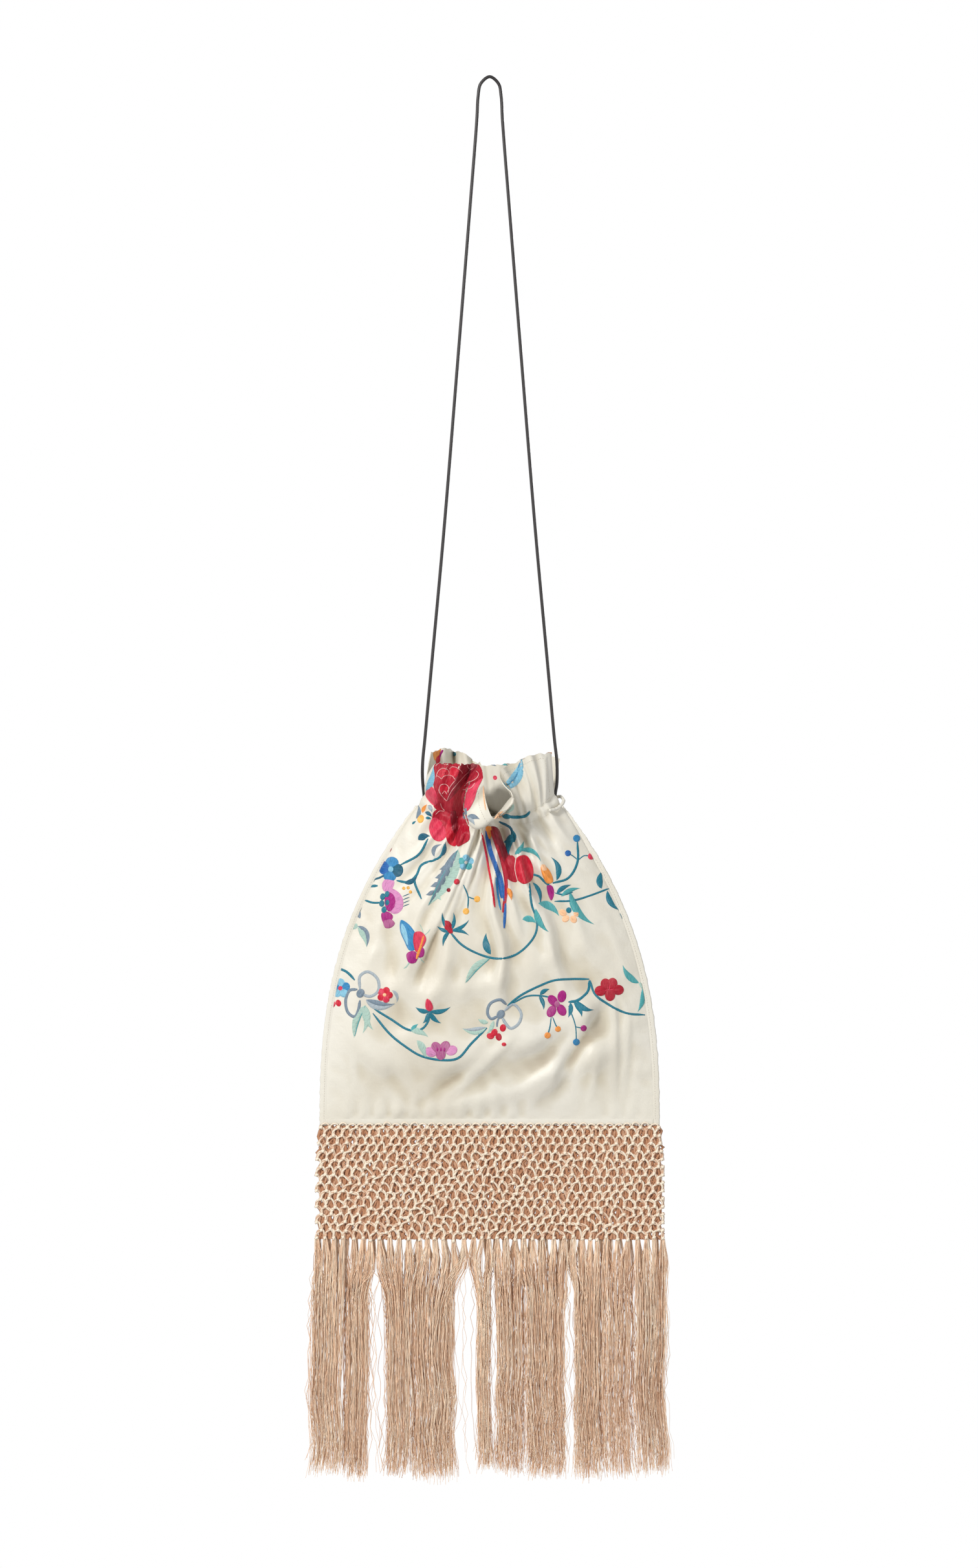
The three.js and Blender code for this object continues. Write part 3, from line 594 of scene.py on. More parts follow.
BACK_HEADING = [
    (-1.0, 0.02, 0.5, 0.15, 0.12, 0.86, 0.15),
    (-0.75, 0.0, 0.6, 0.2, 0.04, 1.08, 0.3),
    (-0.5, 0.0, 0.5, 0.35, -0.05, 1.07, 0.5),
    (-0.3, 0.0, 0.5, 0.15, -0.1, 1.03, 0.2),
    (-0.1, 0.0, -0.1, -0.7, -0.1, 0.8, 0.3),
    (0.12, 0.1, -0.6, -1.15, -0.07, 0.79, 0.1),
    (0.3, 0.1, -0.5, -1.0, 0.0, 0.82, 0.2),
    (0.44, 0.0, 0.42, 0.1, 0.0, 0.84, 0.5),
    (0.65, 0.0, 0.47, 0.2, -0.04, 0.94, 0.25),
    (0.85, 0.02, 0.45, 0.35, 0.04, 0.9, 0.48),
    (1.0, 0.06, 0.4, 0.25, 0.12, 0.72, 0.35),
]
# Folds of the heading: across as above, rise from 0 at the gathers to 1 at the hem
FRONT_FRILL_FOLDS = [
    # across, rise, to across, to rise, width, height, edge
    (-0.2, 0.95, -0.52, 0.2, 6.0, 3.5, 0.4),
    (-0.62, 0.9, -0.6, 0.1, 5.0, 1.6, 1),
    (0.28, 0.9, 0.34, 0.1, 3.0, 3.4, 0.6),
    (0.42, 1.0, 0.4, 0.1, 2.4, 3.4, 0.5),
    (0.55, 1.0, 0.51, 0.0, 2.6, 4.4, 0.4),
    (0.68, 1.0, 0.65, 0.1, 2.0, 3.4, 0.5),
    (0.8, 1.0, 0.78, 0.1, 1.8, 3.2, 0.5),
    (0.92, 0.9, 0.88, 0.1, 1.8, 2.4, 0.6),
    (-0.78, 1.0, -0.74, 0.1, 2.6, 2.4, 0.6),
    (-0.46, 1.0, -0.44, 0.2, 2.4, 2.0, 0.6),
]
BACK_FRILL_FOLDS = [
    (-0.6, 0.9, -0.56, 0.1, 5.0, 2.0, 0.6),
    (-0.2, 0.9, -0.18, 0.1, 4.0, 1.8, 0.7),
    (0.28, 0.9, 0.26, 0.1, 4.0, 1.8, 0.7),
    (0.7, 0.9, 0.66, 0.1, 4.0, 1.6, 0.8),
]
PLEAT_DEPTH = 2.6
PLEAT_COUNT = 7
PLEATS_REACH_DOWN = 0.13
PUCKER_DEPTH = 1.2
PUCKERS_REACH_DOWN = 0.07
WRINKLE_DEPTH = 0.6
FRILL_DEPTH = 2.6
HEADING_EASE = 0.6  # the share of the gathers that the heading loses towards its hem
CREST_SHARPNESS = 1.25
DRAPE_CENTRE_ABOVE = 42  # the folds fan out from this far above the gathers
FAN_DEPTH = 3.5
BOW_DEPTH = 2.5
GATHERS_REACH_UP = 0.7
SEAM_PUCKER_DEPTH = 0.9
SEAM_PUCKER_REACH = 0.09
HEM_PUCKER_DEPTH = 0.8
HEM_PUCKER_REACH = 0.06
HEM_FLAT = 0.015
DEEPEST_FOLD_LOW = 6
DEEPEST_FOLD_HIGH = 16
RIDGE_END = 1.5  # how far a ridge fades beyond its ends, in its own widths
WRINKLE_COUNT = 14
WRINKLE_LENGTHS = (11, 48)
WRINKLE_HALF_WIDTH = 130
DRIFT = 9
DRIFT_LENGTH = 150
FAN_SPACING = 17  # degrees between the widest folds
BOW_SPACING = 62
LEANING_SPACING = 60
FAN_STARTS = (0.15, 0.7)  # the height over which the fan of folds grows
BOWS_END = (0.3, 0.75)  # the height over which the bows fade
LONGEST_PUCKER = 9
LONGEST_SEAM_PUCKER = 30
LONGEST_HEM_PUCKER = 26
LONGEST_FRILL_WAVE = 17
FRILL_STARTS_OVER = 0.25
FRILL_DEEPEST_INWARD = 1.2
HEM_UNEVEN = 0.6

FRONT = {
    "facing": -1,
    "sag": FRONT_SAG,
    "folds": FRONT_FOLDS,
    "heading": FRONT_HEADING,
    "frill": FRONT_FRILL_FOLDS,
    "seed": 11,
}
BACK = {
    "facing": 1,
    "sag": BACK_SAG,
    "folds": BACK_FOLDS,
    "heading": BACK_HEADING,
    "frill": BACK_FRILL_FOLDS,
    "seed": 23,
}


def edge_half_width(up):
    return mix(BOTTOM_HALF_WIDTH, NECK_HALF_WIDTH, up**OUTLINE_POWER)


def edge_half_depth(up):
    slit = CORD_DIAMETER / 2 + CORD_ROOM + PART_CLOTH_THICKNESS
    return mix(SEAM_THICKNESS / 2, slit, smooth(SLIT_OPENS_AT, SLIT_OPEN_BY, up))


def seam_width_at(up):
    return SEAM_WIDTH * mix(1, SEAM_END_SHARE, smooth(SEAM_NARROWS_FROM, SLIT_OPENS_AT, up))


def panel_half_width(up):
    seam = seam_width_at(up) + CLEARANCE
    return edge_half_width(up) - seam * (1 - smooth(SLIT_OPENS_AT, SLIT_OPEN_BY, up))


def gather_level(a, sag):
    return EXIT_LEVEL - sag * (1 - a**4)


def ridges(rows, a, v, width, height):
    """Soft ridges along straight runs over a cloth of this width and height."""
    x = a * width
    y = v * height
    total = np.zeros_like(x)
    for x0, y0, x1, y1, ridge_width, rise, edge in rows:
        start = np.array([x0 * width, y0 * height])
        run = np.array([x1 * width, y1 * height]) - start
        length = np.linalg.norm(run)
        run = run / length
        along = (x - start[0]) * run[0] + (y - start[1]) * run[1]
        side = -(x - start[0]) * run[1] + (y - start[1]) * run[0]
        flank = np.where(side > 0, ridge_width * edge, ridge_width)
        beyond = np.maximum(np.maximum(-along, along - length), 0)
        taper = 1 - FOLD_TAPER * np.clip(along / length, 0, 1)
        fall = np.exp(-((side / flank) ** 2) - (beyond / (RIDGE_END * ridge_width)) ** 2)
        total += rise * taper * fall
    return total


def wrinkles(x, z, seed):
    """Small smooth unevenness of the cloth, between about -1 and 1."""
    draw = np.random.default_rng(seed)
    total = np.zeros_like(x)
    for _ in range(WRINKLE_COUNT):
        angle = draw.uniform(0, np.pi)
        length = draw.uniform(*WRINKLE_LENGTHS)
        phase = draw.uniform(0, 2 * np.pi)
        place = x * math.cos(angle) + z * math.sin(angle)
        total += np.sin(2 * np.pi * place / length + phase) / WRINKLE_COUNT
    return total * 2


def peaked(wave):
    """Turns an even wave into narrow crests and broad hollows."""
    return (np.exp(CREST_SHARPNESS * wave) - 1) / CREST_SHARPNESS


def drape(panel, a, up):
    """Folds that run out from the gathers, and slack folds that hang below them in bows."""
    seed = panel["seed"]
    x = a * edge_half_width(up)
    below = (1 - up) * POUCH_HEIGHT + DRAPE_CENTRE_ABOVE
    degrees = np.degrees(np.arctan2(x, below))
    reach = np.hypot(x, below)
    drift = DRIFT * waves(reach + x * 0.4, 4, DRIFT_LENGTH, seed + 1, 0.5)
    fanned = peaked(waves(degrees + drift * 0.25, 4, FAN_SPACING, seed + 2, 0.45))
    bows = waves(reach + drift * 1.4 + 0.25 * x, 3, BOW_SPACING, seed + 3, 0.5)
    leaning = waves(x * 0.8 - below * 0.45 + drift, 3, LEANING_SPACING, seed + 4, 0.5)
    hung = peaked(0.75 * bows + 0.5 * leaning) * (1 - smooth(*BOWS_END, up))
    return (FAN_DEPTH * fanned * smooth(*FAN_STARTS, up) + BOW_DEPTH * hung) * (1 - a**4)


def side_fade(a):
    """1 over most of the width, falling to 0 at the side seams."""
    return 1 - np.abs(a) ** SIDE_FADE


def bell(distance, reach):
    return np.exp(-((distance / reach) ** 2))


def gathering(panel, a, up):
    """How far the gathers stand out: even pleats, and finer puckers close to the drawstring."""
    pleats = PLEAT_DEPTH * np.cos(PLEAT_COUNT * np.pi * a) * bell(1 - up, PLEATS_REACH_DOWN)
    puckers = PUCKER_DEPTH * waves(a * NECK_HALF_WIDTH, 5, LONGEST_PUCKER, panel["seed"], 0.5)
    return (pleats + puckers * bell(1 - up, PUCKERS_REACH_DOWN)) * side_fade(a)


def seam_puckers(panel, a, up):
    """Short waves where the side seam draws the silk together."""
    at_seam = bell(1 - np.abs(a), SEAM_PUCKER_REACH) * (1 - a**24)
    along = waves(up * POUCH_HEIGHT + 40 * a, 4, LONGEST_SEAM_PUCKER, panel["seed"] + 6, 0.3)
    return SEAM_PUCKER_DEPTH * along * at_seam


def hem_puckers(panel, a, up):
    """Short waves along the lower edge, where the net hangs from the silk."""
    above = up - PANEL_START
    at_hem = bell(above, HEM_PUCKER_REACH) * np.minimum(above / HEM_FLAT, 1)
    along = waves(a * BOTTOM_HALF_WIDTH, 5, LONGEST_HEM_PUCKER, panel["seed"] + 8, 0.3)
    return HEM_PUCKER_DEPTH * along * at_hem * side_fade(a)


def all_folds(panel, a, up):
    """The folds of the pouch, none deeper than the cloth's slack allows."""
    folds = ridges(panel["folds"], a, up, BOTTOM_HALF_WIDTH, POUCH_HEIGHT)
    small = wrinkles(a * WRINKLE_HALF_WIDTH, up * POUCH_HEIGHT, panel["seed"])
    folds = folds + WRINKLE_DEPTH * peaked(small) + drape(panel, a, up)
    deepest = mix(DEEPEST_FOLD_LOW, DEEPEST_FOLD_HIGH, smooth(0.1, 0.65, up))
    return deepest * np.tanh(folds / deepest)


def panel_point(panel, a, up):
    """A point on the outer face of a panel below the gathers."""
    share = (up - PANEL_START) / (1 - PANEL_START)
    rise = np.clip((up - PANEL_START) / (FULLEST_AT - PANEL_START), 0, 1)
    belly = (1 - (1 - rise) ** 2) ** BELLY_POWER * FULLNESS
    to_neck = smooth(NECK_BLEND_FROM, 1, up)
    lens = np.maximum(1 - a**2, 0) ** mix(SIDE_ROUNDING, NECK_ROUNDING, to_neck)
    depth = edge_half_depth(up) + mix(belly, NECK_HALF_DEPTH, to_neck) * lens
    folds = all_folds(panel, a, up) * side_fade(a) + seam_puckers(panel, a, up)
    from_seam = np.minimum((up - PANEL_START) / FOLDS_START_OVER, 1)
    below_casing = 1 - smooth(FOLDS_FADE_FROM, FOLDS_FADE_TO, up)
    depth = depth + folds * from_seam * below_casing + gathering(panel, a, up) + hem_puckers(panel, a, up)
    z = mix(BOTTOM_LEVEL + PANEL_START * POUCH_HEIGHT, gather_level(a, panel["sag"]), share)
    return np.stack([a * panel_half_width(up), panel["facing"] * depth, z], axis=-1)


def heading_point(panel, a, rise):
    """A point on the outer face of the heading, with rise from 0 at the gathers to 1 at the hem."""
    seed, out = panel["seed"], panel["facing"]
    at_neck = np.ones_like(a)
    root = panel_point(panel, a, at_neck)
    share = [table_curve(panel["heading"], c, a) * HEADING_HEIGHT for c in range(1, 7)]
    crest = root + np.stack([share[0], out * share[2], share[1]], axis=-1)
    hem = root + np.stack([share[3], out * share[5], share[4]], axis=-1)
    k = rise[..., None]
    point = (1 - k) ** 2 * root + 2 * k * (1 - k) * crest + k**2 * hem
    fade = side_fade(a) * np.minimum(rise / FRILL_STARTS_OVER, 1)
    stand = ridges(panel["frill"], a, rise, NECK_HALF_WIDTH, HEADING_HEIGHT)
    x = a * NECK_HALF_WIDTH
    frill = FRILL_DEPTH * waves(x, 4, LONGEST_FRILL_WAVE, seed + 5, 0.5) * rise**1.3
    eased = HEADING_EASE * smooth(0, GATHERS_REACH_UP, rise) * gathering(panel, a, at_neck)
    point[..., 1] += out * (np.maximum(stand + frill, -FRILL_DEEPEST_INWARD) * fade - eased)
    point[..., 2] += HEM_UNEVEN * waves(x, 4, 15, seed + 9) * rise**3
    return point


def cloth_point(panel, a, t):
    """A point on a panel: t runs from 0 at the bottom seam to 1 at the gathers and 2 at the hem."""
    a, t = np.broadcast_arrays(np.asarray(a, float), np.asarray(t, float))
    below = panel_point(panel, a, mix(PANEL_START, 1, np.clip(t, 0, 1)))
    above = heading_point(panel, a, np.clip(t - 1, 0, 1))
    return np.where((t <= 1)[..., None], below, above)


def cloth_normal(panel, a, t, step=0.004):
    a, t = np.broadcast_arrays(np.asarray(a, float), np.asarray(t, float))
    right = cloth_point(panel, np.minimum(a + step, 1), t)
    left = cloth_point(panel, np.maximum(a - step, -1), t)
    over = cloth_point(panel, a, np.minimum(t + step, 2))
    under = cloth_point(panel, a, np.maximum(t - step, 0))
    return unit(np.cross(right - left, over - under)) * -panel["facing"]


def on_cloth(panel, a, t, lift):
    return cloth_point(panel, a, t) + cloth_normal(panel, a, t) * np.asarray(lift)[..., None]


def sheet_mesh(outer, inner, flip):
    """A closed thin sheet between two grids of points."""
    rows, columns, _ = outer.shape
    count = rows * columns
    faces = [grid_faces(rows, columns, 0, flip), grid_faces(rows, columns, count, not flip)]
    ring = [j * columns for j in range(rows)]
    ring += [(rows - 1) * columns + i for i in range(1, columns)]
    ring += [j * columns + columns - 1 for j in range(rows - 2, -1, -1)]
    ring += [i for i in range(columns - 2, 0, -1)]
    edge = np.array(ring)
    after = np.roll(edge, -1)
    side = np.stack([edge, after, after + count, edge + count], axis=1)
    faces.append(side[:, ::-1] if flip else side)
    return np.vstack([outer.reshape(-1, 3), inner.reshape(-1, 3)]), np.vstack(faces)


def close_rows(count, start, end):
    """Places along a panel, closer together towards both ends."""
    return mix(start, end, (1 - np.cos(np.pi * np.linspace(0, 1, count))) / 2)


FRONT_GRID = (211, 96, 34)  # columns, rows below the gathers, rows above them
BACK_GRID = (125, 72, 26)
COLUMN_CROWDING = 1.3  # how much closer the columns lie together at the sides
EDGE_ANGLE = math.radians(80)  # sharper than this, an edge of the cloth is shaded as an edge
HOLLOW_REACHES = (2, 5)  # grid steps
HOLLOW_SCALE = 2.4


def hollows(points, normals):
    """How deep each point lies between the folds around it, from -1 on a crest to 1 at the bottom of a fold;
    the silk paints shade by it.
    """
    total = np.zeros(points.shape[:2])
    for reach in HOLLOW_REACHES:
        wide = np.pad(points, ((reach, reach), (reach, reach), (0, 0)), mode="edge")
        along = wide[2 * reach :, reach:-reach] + wide[: -2 * reach, reach:-reach]
        across = wide[reach:-reach, 2 * reach :] + wide[reach:-reach, : -2 * reach]
        total += np.sum(((along + across) / 4 - points) * normals, axis=2)
    return np.tanh(total / HOLLOW_SCALE)


def add_panel(name, panel, grid, node):
    columns, rows, heading_rows = grid
    a = np.sin(np.linspace(-1, 1, columns) * COLUMN_CROWDING) / math.sin(COLUMN_CROWDING)
    heading = np.linspace(1, 2, heading_rows + 1)[1:]
    t = np.concatenate([close_rows(rows, 0, 1), heading])
    t, a = np.meshgrid(t, a, indexing="ij")
    outer = cloth_point(panel, a, t)
    normals = cloth_normal(panel, a, t)
    points, faces = sheet_mesh(outer, outer - CLOTH_THICKNESS * normals, panel["facing"] > 0)
    # painted shade: how deep each point lies between folds, which the silk's material darkens
    depth = hollows(outer, normals)
    values = {"hollow_shade": np.concatenate([depth.ravel(), -depth.ravel()])}
    sheet = add_mesh(name, points, faces, [silk], values=values)
    sheet.data.set_sharp_from_angle(angle=EDGE_ANGLE)
    return dress(sheet, "silk", node)


silk_front = add_panel("silk_front_panel", FRONT, FRONT_GRID, "silk_front")
silk_back = add_panel("silk_back_panel", BACK, BACK_GRID, "silk_back")


# Seams, casing strips, drawstring and keeper
SEAM_TUCK = 1.2  # how far a seam reaches under the panels' edges
SEAM_SINK = 0.06  # how far it lies below the panel's face at the edge
SEAM_ROUND = np.linspace(-np.pi / 2, np.pi / 2, 9)


def seam_profile(outer, middle, flush, tuck):
    """Places and depths round a seam: its rolled outer edge, and its tuck under the panels."""
    half = SEAM_THICKNESS / 2
    inward = math.copysign(1, tuck)
    rolled = [(mix(middle, outer, math.cos(turn)), half * math.sin(turn)) for turn in SEAM_ROUND]
    tucked = [(flush, half), (flush + 0.6 * inward, half - SEAM_SINK)]
    tucked += [(flush + inward, half - 0.1), (flush + tuck, half - 0.5)]
    return rolled + tucked + [(place, -depth) for place, depth in tucked[::-1]]


def add_seam_roll(name, rings, turn, node):
    """A closed roll through lines of points along a seam, which go round it one way (1) or back (-1)."""
    ring = np.stack(rings, axis=1)
    steps, sides, _ = ring.shape
    k, s = np.meshgrid(np.arange(steps - 1), np.arange(sides), indexing="ij")
    a = k * sides + s
    b = k * sides + (s + 1) % sides
    faces = np.stack([a, b, b + sides, a + sides], axis=-1).reshape(-1, 4)[:, ::turn].tolist()
    first, last = list(range(sides)), list(range((steps - 1) * sides, steps * sides))
    faces += [first[::-turn], last[::turn]]
    return dress(add_mesh(name, ring.reshape(-1, 3), faces, [silk]), "silk", node)


def add_side_seam(name, side, node):
    up = np.linspace(0, SLIT_OPENS_AT, 170)
    outer = edge_half_width(up) + 0.25 * waves(up * POUCH_HEIGHT, 4, 16, 40 + side)
    flush = edge_half_width(up) - seam_width_at(up) + 0.3
    level = mix(BOTTOM_LEVEL, EXIT_LEVEL, up)
    profile = seam_profile(outer, mix(flush, outer, 0.8), flush, -SEAM_TUCK - 0.3)
    rings = [np.stack([side * x, np.full_like(x, depth), level], axis=-1) for x, depth in profile]
    return add_seam_roll(name, rings, side, node)


def add_bottom_seam():
    half_length = BOTTOM_HALF_WIDTH - SEAM_WIDTH - CLEARANCE + 0.5
    x = np.linspace(-half_length, half_length, 260)
    low = BOTTOM_LEVEL + 0.3 + 0.3 * waves(x, 5, 18, 51)
    flush = BOTTOM_LEVEL + SEAM_WIDTH - 0.3
    profile = seam_profile(low, BOTTOM_LEVEL + SEAM_WIDTH * 0.3, flush, SEAM_TUCK + 0.6)
    rings = [np.stack([x, np.full_like(x, depth), z + 0 * x], axis=-1) for z, depth in profile]
    return add_seam_roll("bottom_seam_roll", rings, -1, "bottom_seam")


CASING_REACH = 0.86
CASING_SET_BACK = 3.5
DRAWSTRING_REACH = 0.93


def casing_point(panel, a, rise, bulge):
    level = gather_level(a, panel["sag"]) - CASING_HEIGHT / 2 + rise
    start = BOTTOM_LEVEL + PANEL_START * POUCH_HEIGHT
    share = (level - start) / (gather_level(a, panel["sag"]) - start)
    up = mix(PANEL_START, 1, share)
    to_neck = smooth(NECK_BLEND_FROM, 1, up)
    lens = (1 - a**2) ** mix(SIDE_ROUNDING, NECK_ROUNDING, to_neck)
    depth = edge_half_depth(up) + mix(FULLNESS, NECK_HALF_DEPTH, to_neck) * lens
    y = panel["facing"] * (depth - CASING_SET_BACK - bulge)
    return np.stack([a * panel_half_width(up), y, level], axis=-1)


def add_casing(name, panel, node):
    s = np.linspace(-1, 1, 21)[:, None]
    a = np.linspace(-CASING_REACH, CASING_REACH, 90)[None]
    s, a = np.broadcast_arrays(s, a)
    belly = (CORD_DIAMETER + 2 * CLEARANCE) * smooth(0, 0.6, 1 - np.abs(s))
    outer = casing_point(panel, a, s * CASING_HEIGHT / 2, belly)
    inner = casing_point(panel, a, s * CASING_HEIGHT / 2, belly + 0.6)
    points, faces = sheet_mesh(outer, inner, panel["facing"] > 0)
    return dress(add_mesh(name, points, faces, [silk]), "silk", node)


def add_drawstring():
    a = np.linspace(-DRAWSTRING_REACH, DRAWSTRING_REACH, 70)
    middle = CORD_DIAMETER / 2 + CLEARANCE
    front = casing_point(FRONT, a, 0 * a, middle)
    back = casing_point(BACK, -a, 0 * a, middle)
    centres = np.vstack([front, back, front[:2]])[None]
    ring = add_tubes("drawstring_cord", centres, CORD_DIAMETER / 2, 12, [black], caps=False)
    return dress(ring, "cord", "drawstring")


KEEPER_ROUTE = [
    # panel, across, up, lift
    (FRONT, 0.83, 0.985, 0),
    (FRONT, 0.92, 0.975, 0.5),
    (FRONT, 1, 0.978, 1.5),
    (BACK, 1, 0.992, 1.5),
    (BACK, 0.92, 0.995, 0.5),
    (BACK, 0.85, 0.988, 0),
]
KEEPER_DIAMETER = 2.6
KEEPER_ASIDE = 0.8


def add_keeper():
    centres = []
    for panel, a, up, lift in KEEPER_ROUTE:
        centre = panel_point(panel, np.array(float(a)), np.array(float(up)))
        off = KEEPER_DIAMETER / 2 + CLEARANCE + PLEAT_DEPTH / 2 + lift
        centre[0] += a * off * KEEPER_ASIDE
        centre[1] += panel["facing"] * off * (1 - a**SIDE_FADE)
        centres.append(centre)
    route = spline(centres, 14)[None]
    swell = 1 + 0.06 * np.sin(np.arange(route.shape[1]) * 1.1)
    loop = add_tubes("keeper_loop", route, KEEPER_DIAMETER / 2 * swell, 14, [silk])
    return dress(loop, "silk", "cord_keeper")


seams = [
    add_side_seam("side_seam_left_roll", -1, "side_seam_left"),
    add_side_seam("side_seam_right_roll", 1, "side_seam_right"),
    add_bottom_seam(),
]
casings = [
    add_casing("casing_front_strip", FRONT, "casing_front"),
    add_casing("casing_back_strip", BACK, "casing_back"),
]
add_drawstring()
keeper = add_keeper()


# The embroidery: floss silk in satin stitch. Shapes are drawn as they are seen from the panel's own
# side: x from the middle, and height above the pouch's lower edge, in millimetres.
FLOSS = {
    "teal": (22, 118, 140),
    "deep_teal": (18, 92, 118),
    "light_teal": (78, 168, 172),
    "mint": (172, 202, 190),
    "slate": (122, 140, 156),
    "pale_grey": (168, 180, 188),
    "cobalt": (28, 98, 172),
    "blue": (44, 132, 186),
    "light_blue": (130, 190, 216),
    "crimson": (178, 10, 42),
    "deep_crimson": (138, 6, 34),
    "rose": (220, 52, 84),
    "red": (206, 22, 52),
    "magenta": (166, 20, 124),
    "mauve": (178, 96, 144),
    "lilac": (214, 140, 190),
    "orange": (240, 150, 66),
    "amber": (246, 184, 84),
    "peach": (246, 194, 150),
    "white": (240, 232, 222),
    "petal_line": (228, 168, 166),
}
STITCH_PITCH = 0.48
LOOKUP_CELL = 0.7
LOOKUP_COLUMNS = 601
LOOKUP_ROWS = 661
LAYER_STEP = 0.12
DOME = 0.42
EDGE_SINK = 0.12
PATCH_STEP = 1.0
STEM_FULLNESS = 1.02
FARTHEST_MISS = 5  # a patch that the cloth turns away from is left out there
LONGEST_SPAN = 7
LOOKUP_MARGIN = 3
FILL_ROUNDS = 8
SEARCH_ROUNDS = 4
SEARCH_STEP = 0.002
LONGEST_MOVE_ACROSS = 0.008
LONGEST_MOVE_UP = 0.006
LEAST_SPREAD = 200  # where the cloth is seen edge on, the search goes by this instead


def linear(colour):
    """An sRGB colour of 0 to 255 as linear values."""
    values = [channel / 255 for channel in colour]
    return tuple(v / 12.92 if v <= 0.04045 else ((v + 0.055) / 1.055) ** 2.4 for v in values)


def floss_material(name, colour):
    """Satin stitch: threads side by side, each a little lighter or darker, partly the floss's own uneven
    colour and partly painted sheen where it catches the light.
    """
    base = np.array(linear(colour))
    look = {"sheen": 0.1, "sheen_roughness": 0.35, "specular": 0.4}
    thread = Surface("floss_" + name, tuple(base), 0.38, uv="threads", **look)
    colour_and_sheen = [(0.28, tuple(base * 0.66)), (0.5, tuple(base)), (0.75, tuple(base * 0.95 + 0.05))]
    thread.colour(thread.streaks((1.3, 0.22, 1)), colour_and_sheen)
    pitch = 2 * math.pi / (20 * STITCH_PITCH)
    stitch = thread.add("ShaderNodeTexWave", Vector=thread.place, Scale=pitch, Distortion=0.6)
    stitch.bands_direction = "X"
    thread.emboss(stitch.outputs["Fac"], 0.5, 0.00025)
    return thread.material


floss = {name: floss_material(name, colour) for name, colour in FLOSS.items()}
floss_order = list(FLOSS)


def cloth_map(panel, seen_from):
    """A function that finds the place on a panel seen at x and z from the front (-1) or the back (1)."""
    a = np.linspace(-1, 1, LOOKUP_COLUMNS)
    t = np.linspace(0, 2, LOOKUP_ROWS)
    a, t = (g.ravel() for g in np.meshgrid(a, t, indexing="ij"))
    points = cloth_point(panel, a, t)
    low = points.min(axis=0) - LOOKUP_MARGIN
    shape = ((points.max(axis=0) + LOOKUP_MARGIN - low) / LOOKUP_CELL).astype(int) + 1
    cells = ((points - low) / LOOKUP_CELL).astype(int)
    found = np.full((shape[0], shape[2]), -1)
    outermost_last = np.argsort(points[:, 1] * seen_from)
    found[cells[outermost_last, 0], cells[outermost_last, 2]] = outermost_last
    for _ in range(FILL_ROUNDS):
        for step, axis in ((1, 0), (-1, 0), (1, 1), (-1, 1)):
            moved = np.roll(found, step, axis)
            found = np.where(found < 0, moved, found)

    def cell(values, axis):
        return np.clip(((values - low[axis]) / LOOKUP_CELL).astype(int), 0, shape[axis] - 1)

    def locate(x, z):
        nearest = np.maximum(found[cell(x, 0), cell(z, 2)], 0)
        here_a, here_t = a[nearest].copy(), t[nearest].copy()
        for _ in range(SEARCH_ROUNDS):
            point = cloth_point(panel, here_a, here_t)
            step_a = np.where(here_a > 0, -SEARCH_STEP, SEARCH_STEP)
            step_t = np.where(here_t > 1, -SEARCH_STEP, SEARCH_STEP)
            by_a = (cloth_point(panel, here_a + step_a, here_t) - point) / step_a[:, None]
            by_t = (cloth_point(panel, here_a, here_t + step_t) - point) / step_t[:, None]
            dx, dz = x - point[:, 0], z - point[:, 2]
            det = by_a[:, 0] * by_t[:, 2] - by_t[:, 0] * by_a[:, 2]
            least = np.where(det < 0, -LEAST_SPREAD, LEAST_SPREAD)
            det = np.where(np.abs(det) < LEAST_SPREAD, least, det)
            move_a = (dx * by_t[:, 2] - by_t[:, 0] * dz) / det
            move_t = (by_a[:, 0] * dz - dx * by_a[:, 2]) / det
            move_a = np.clip(move_a, -LONGEST_MOVE_ACROSS, LONGEST_MOVE_ACROSS)
            move_t = np.clip(move_t, -LONGEST_MOVE_UP, LONGEST_MOVE_UP)
            here_a = np.clip(here_a + move_a, -0.999, 0.999)
            here_t = np.clip(here_t + move_t, 0, 2)
        return here_a, here_t

    return locate


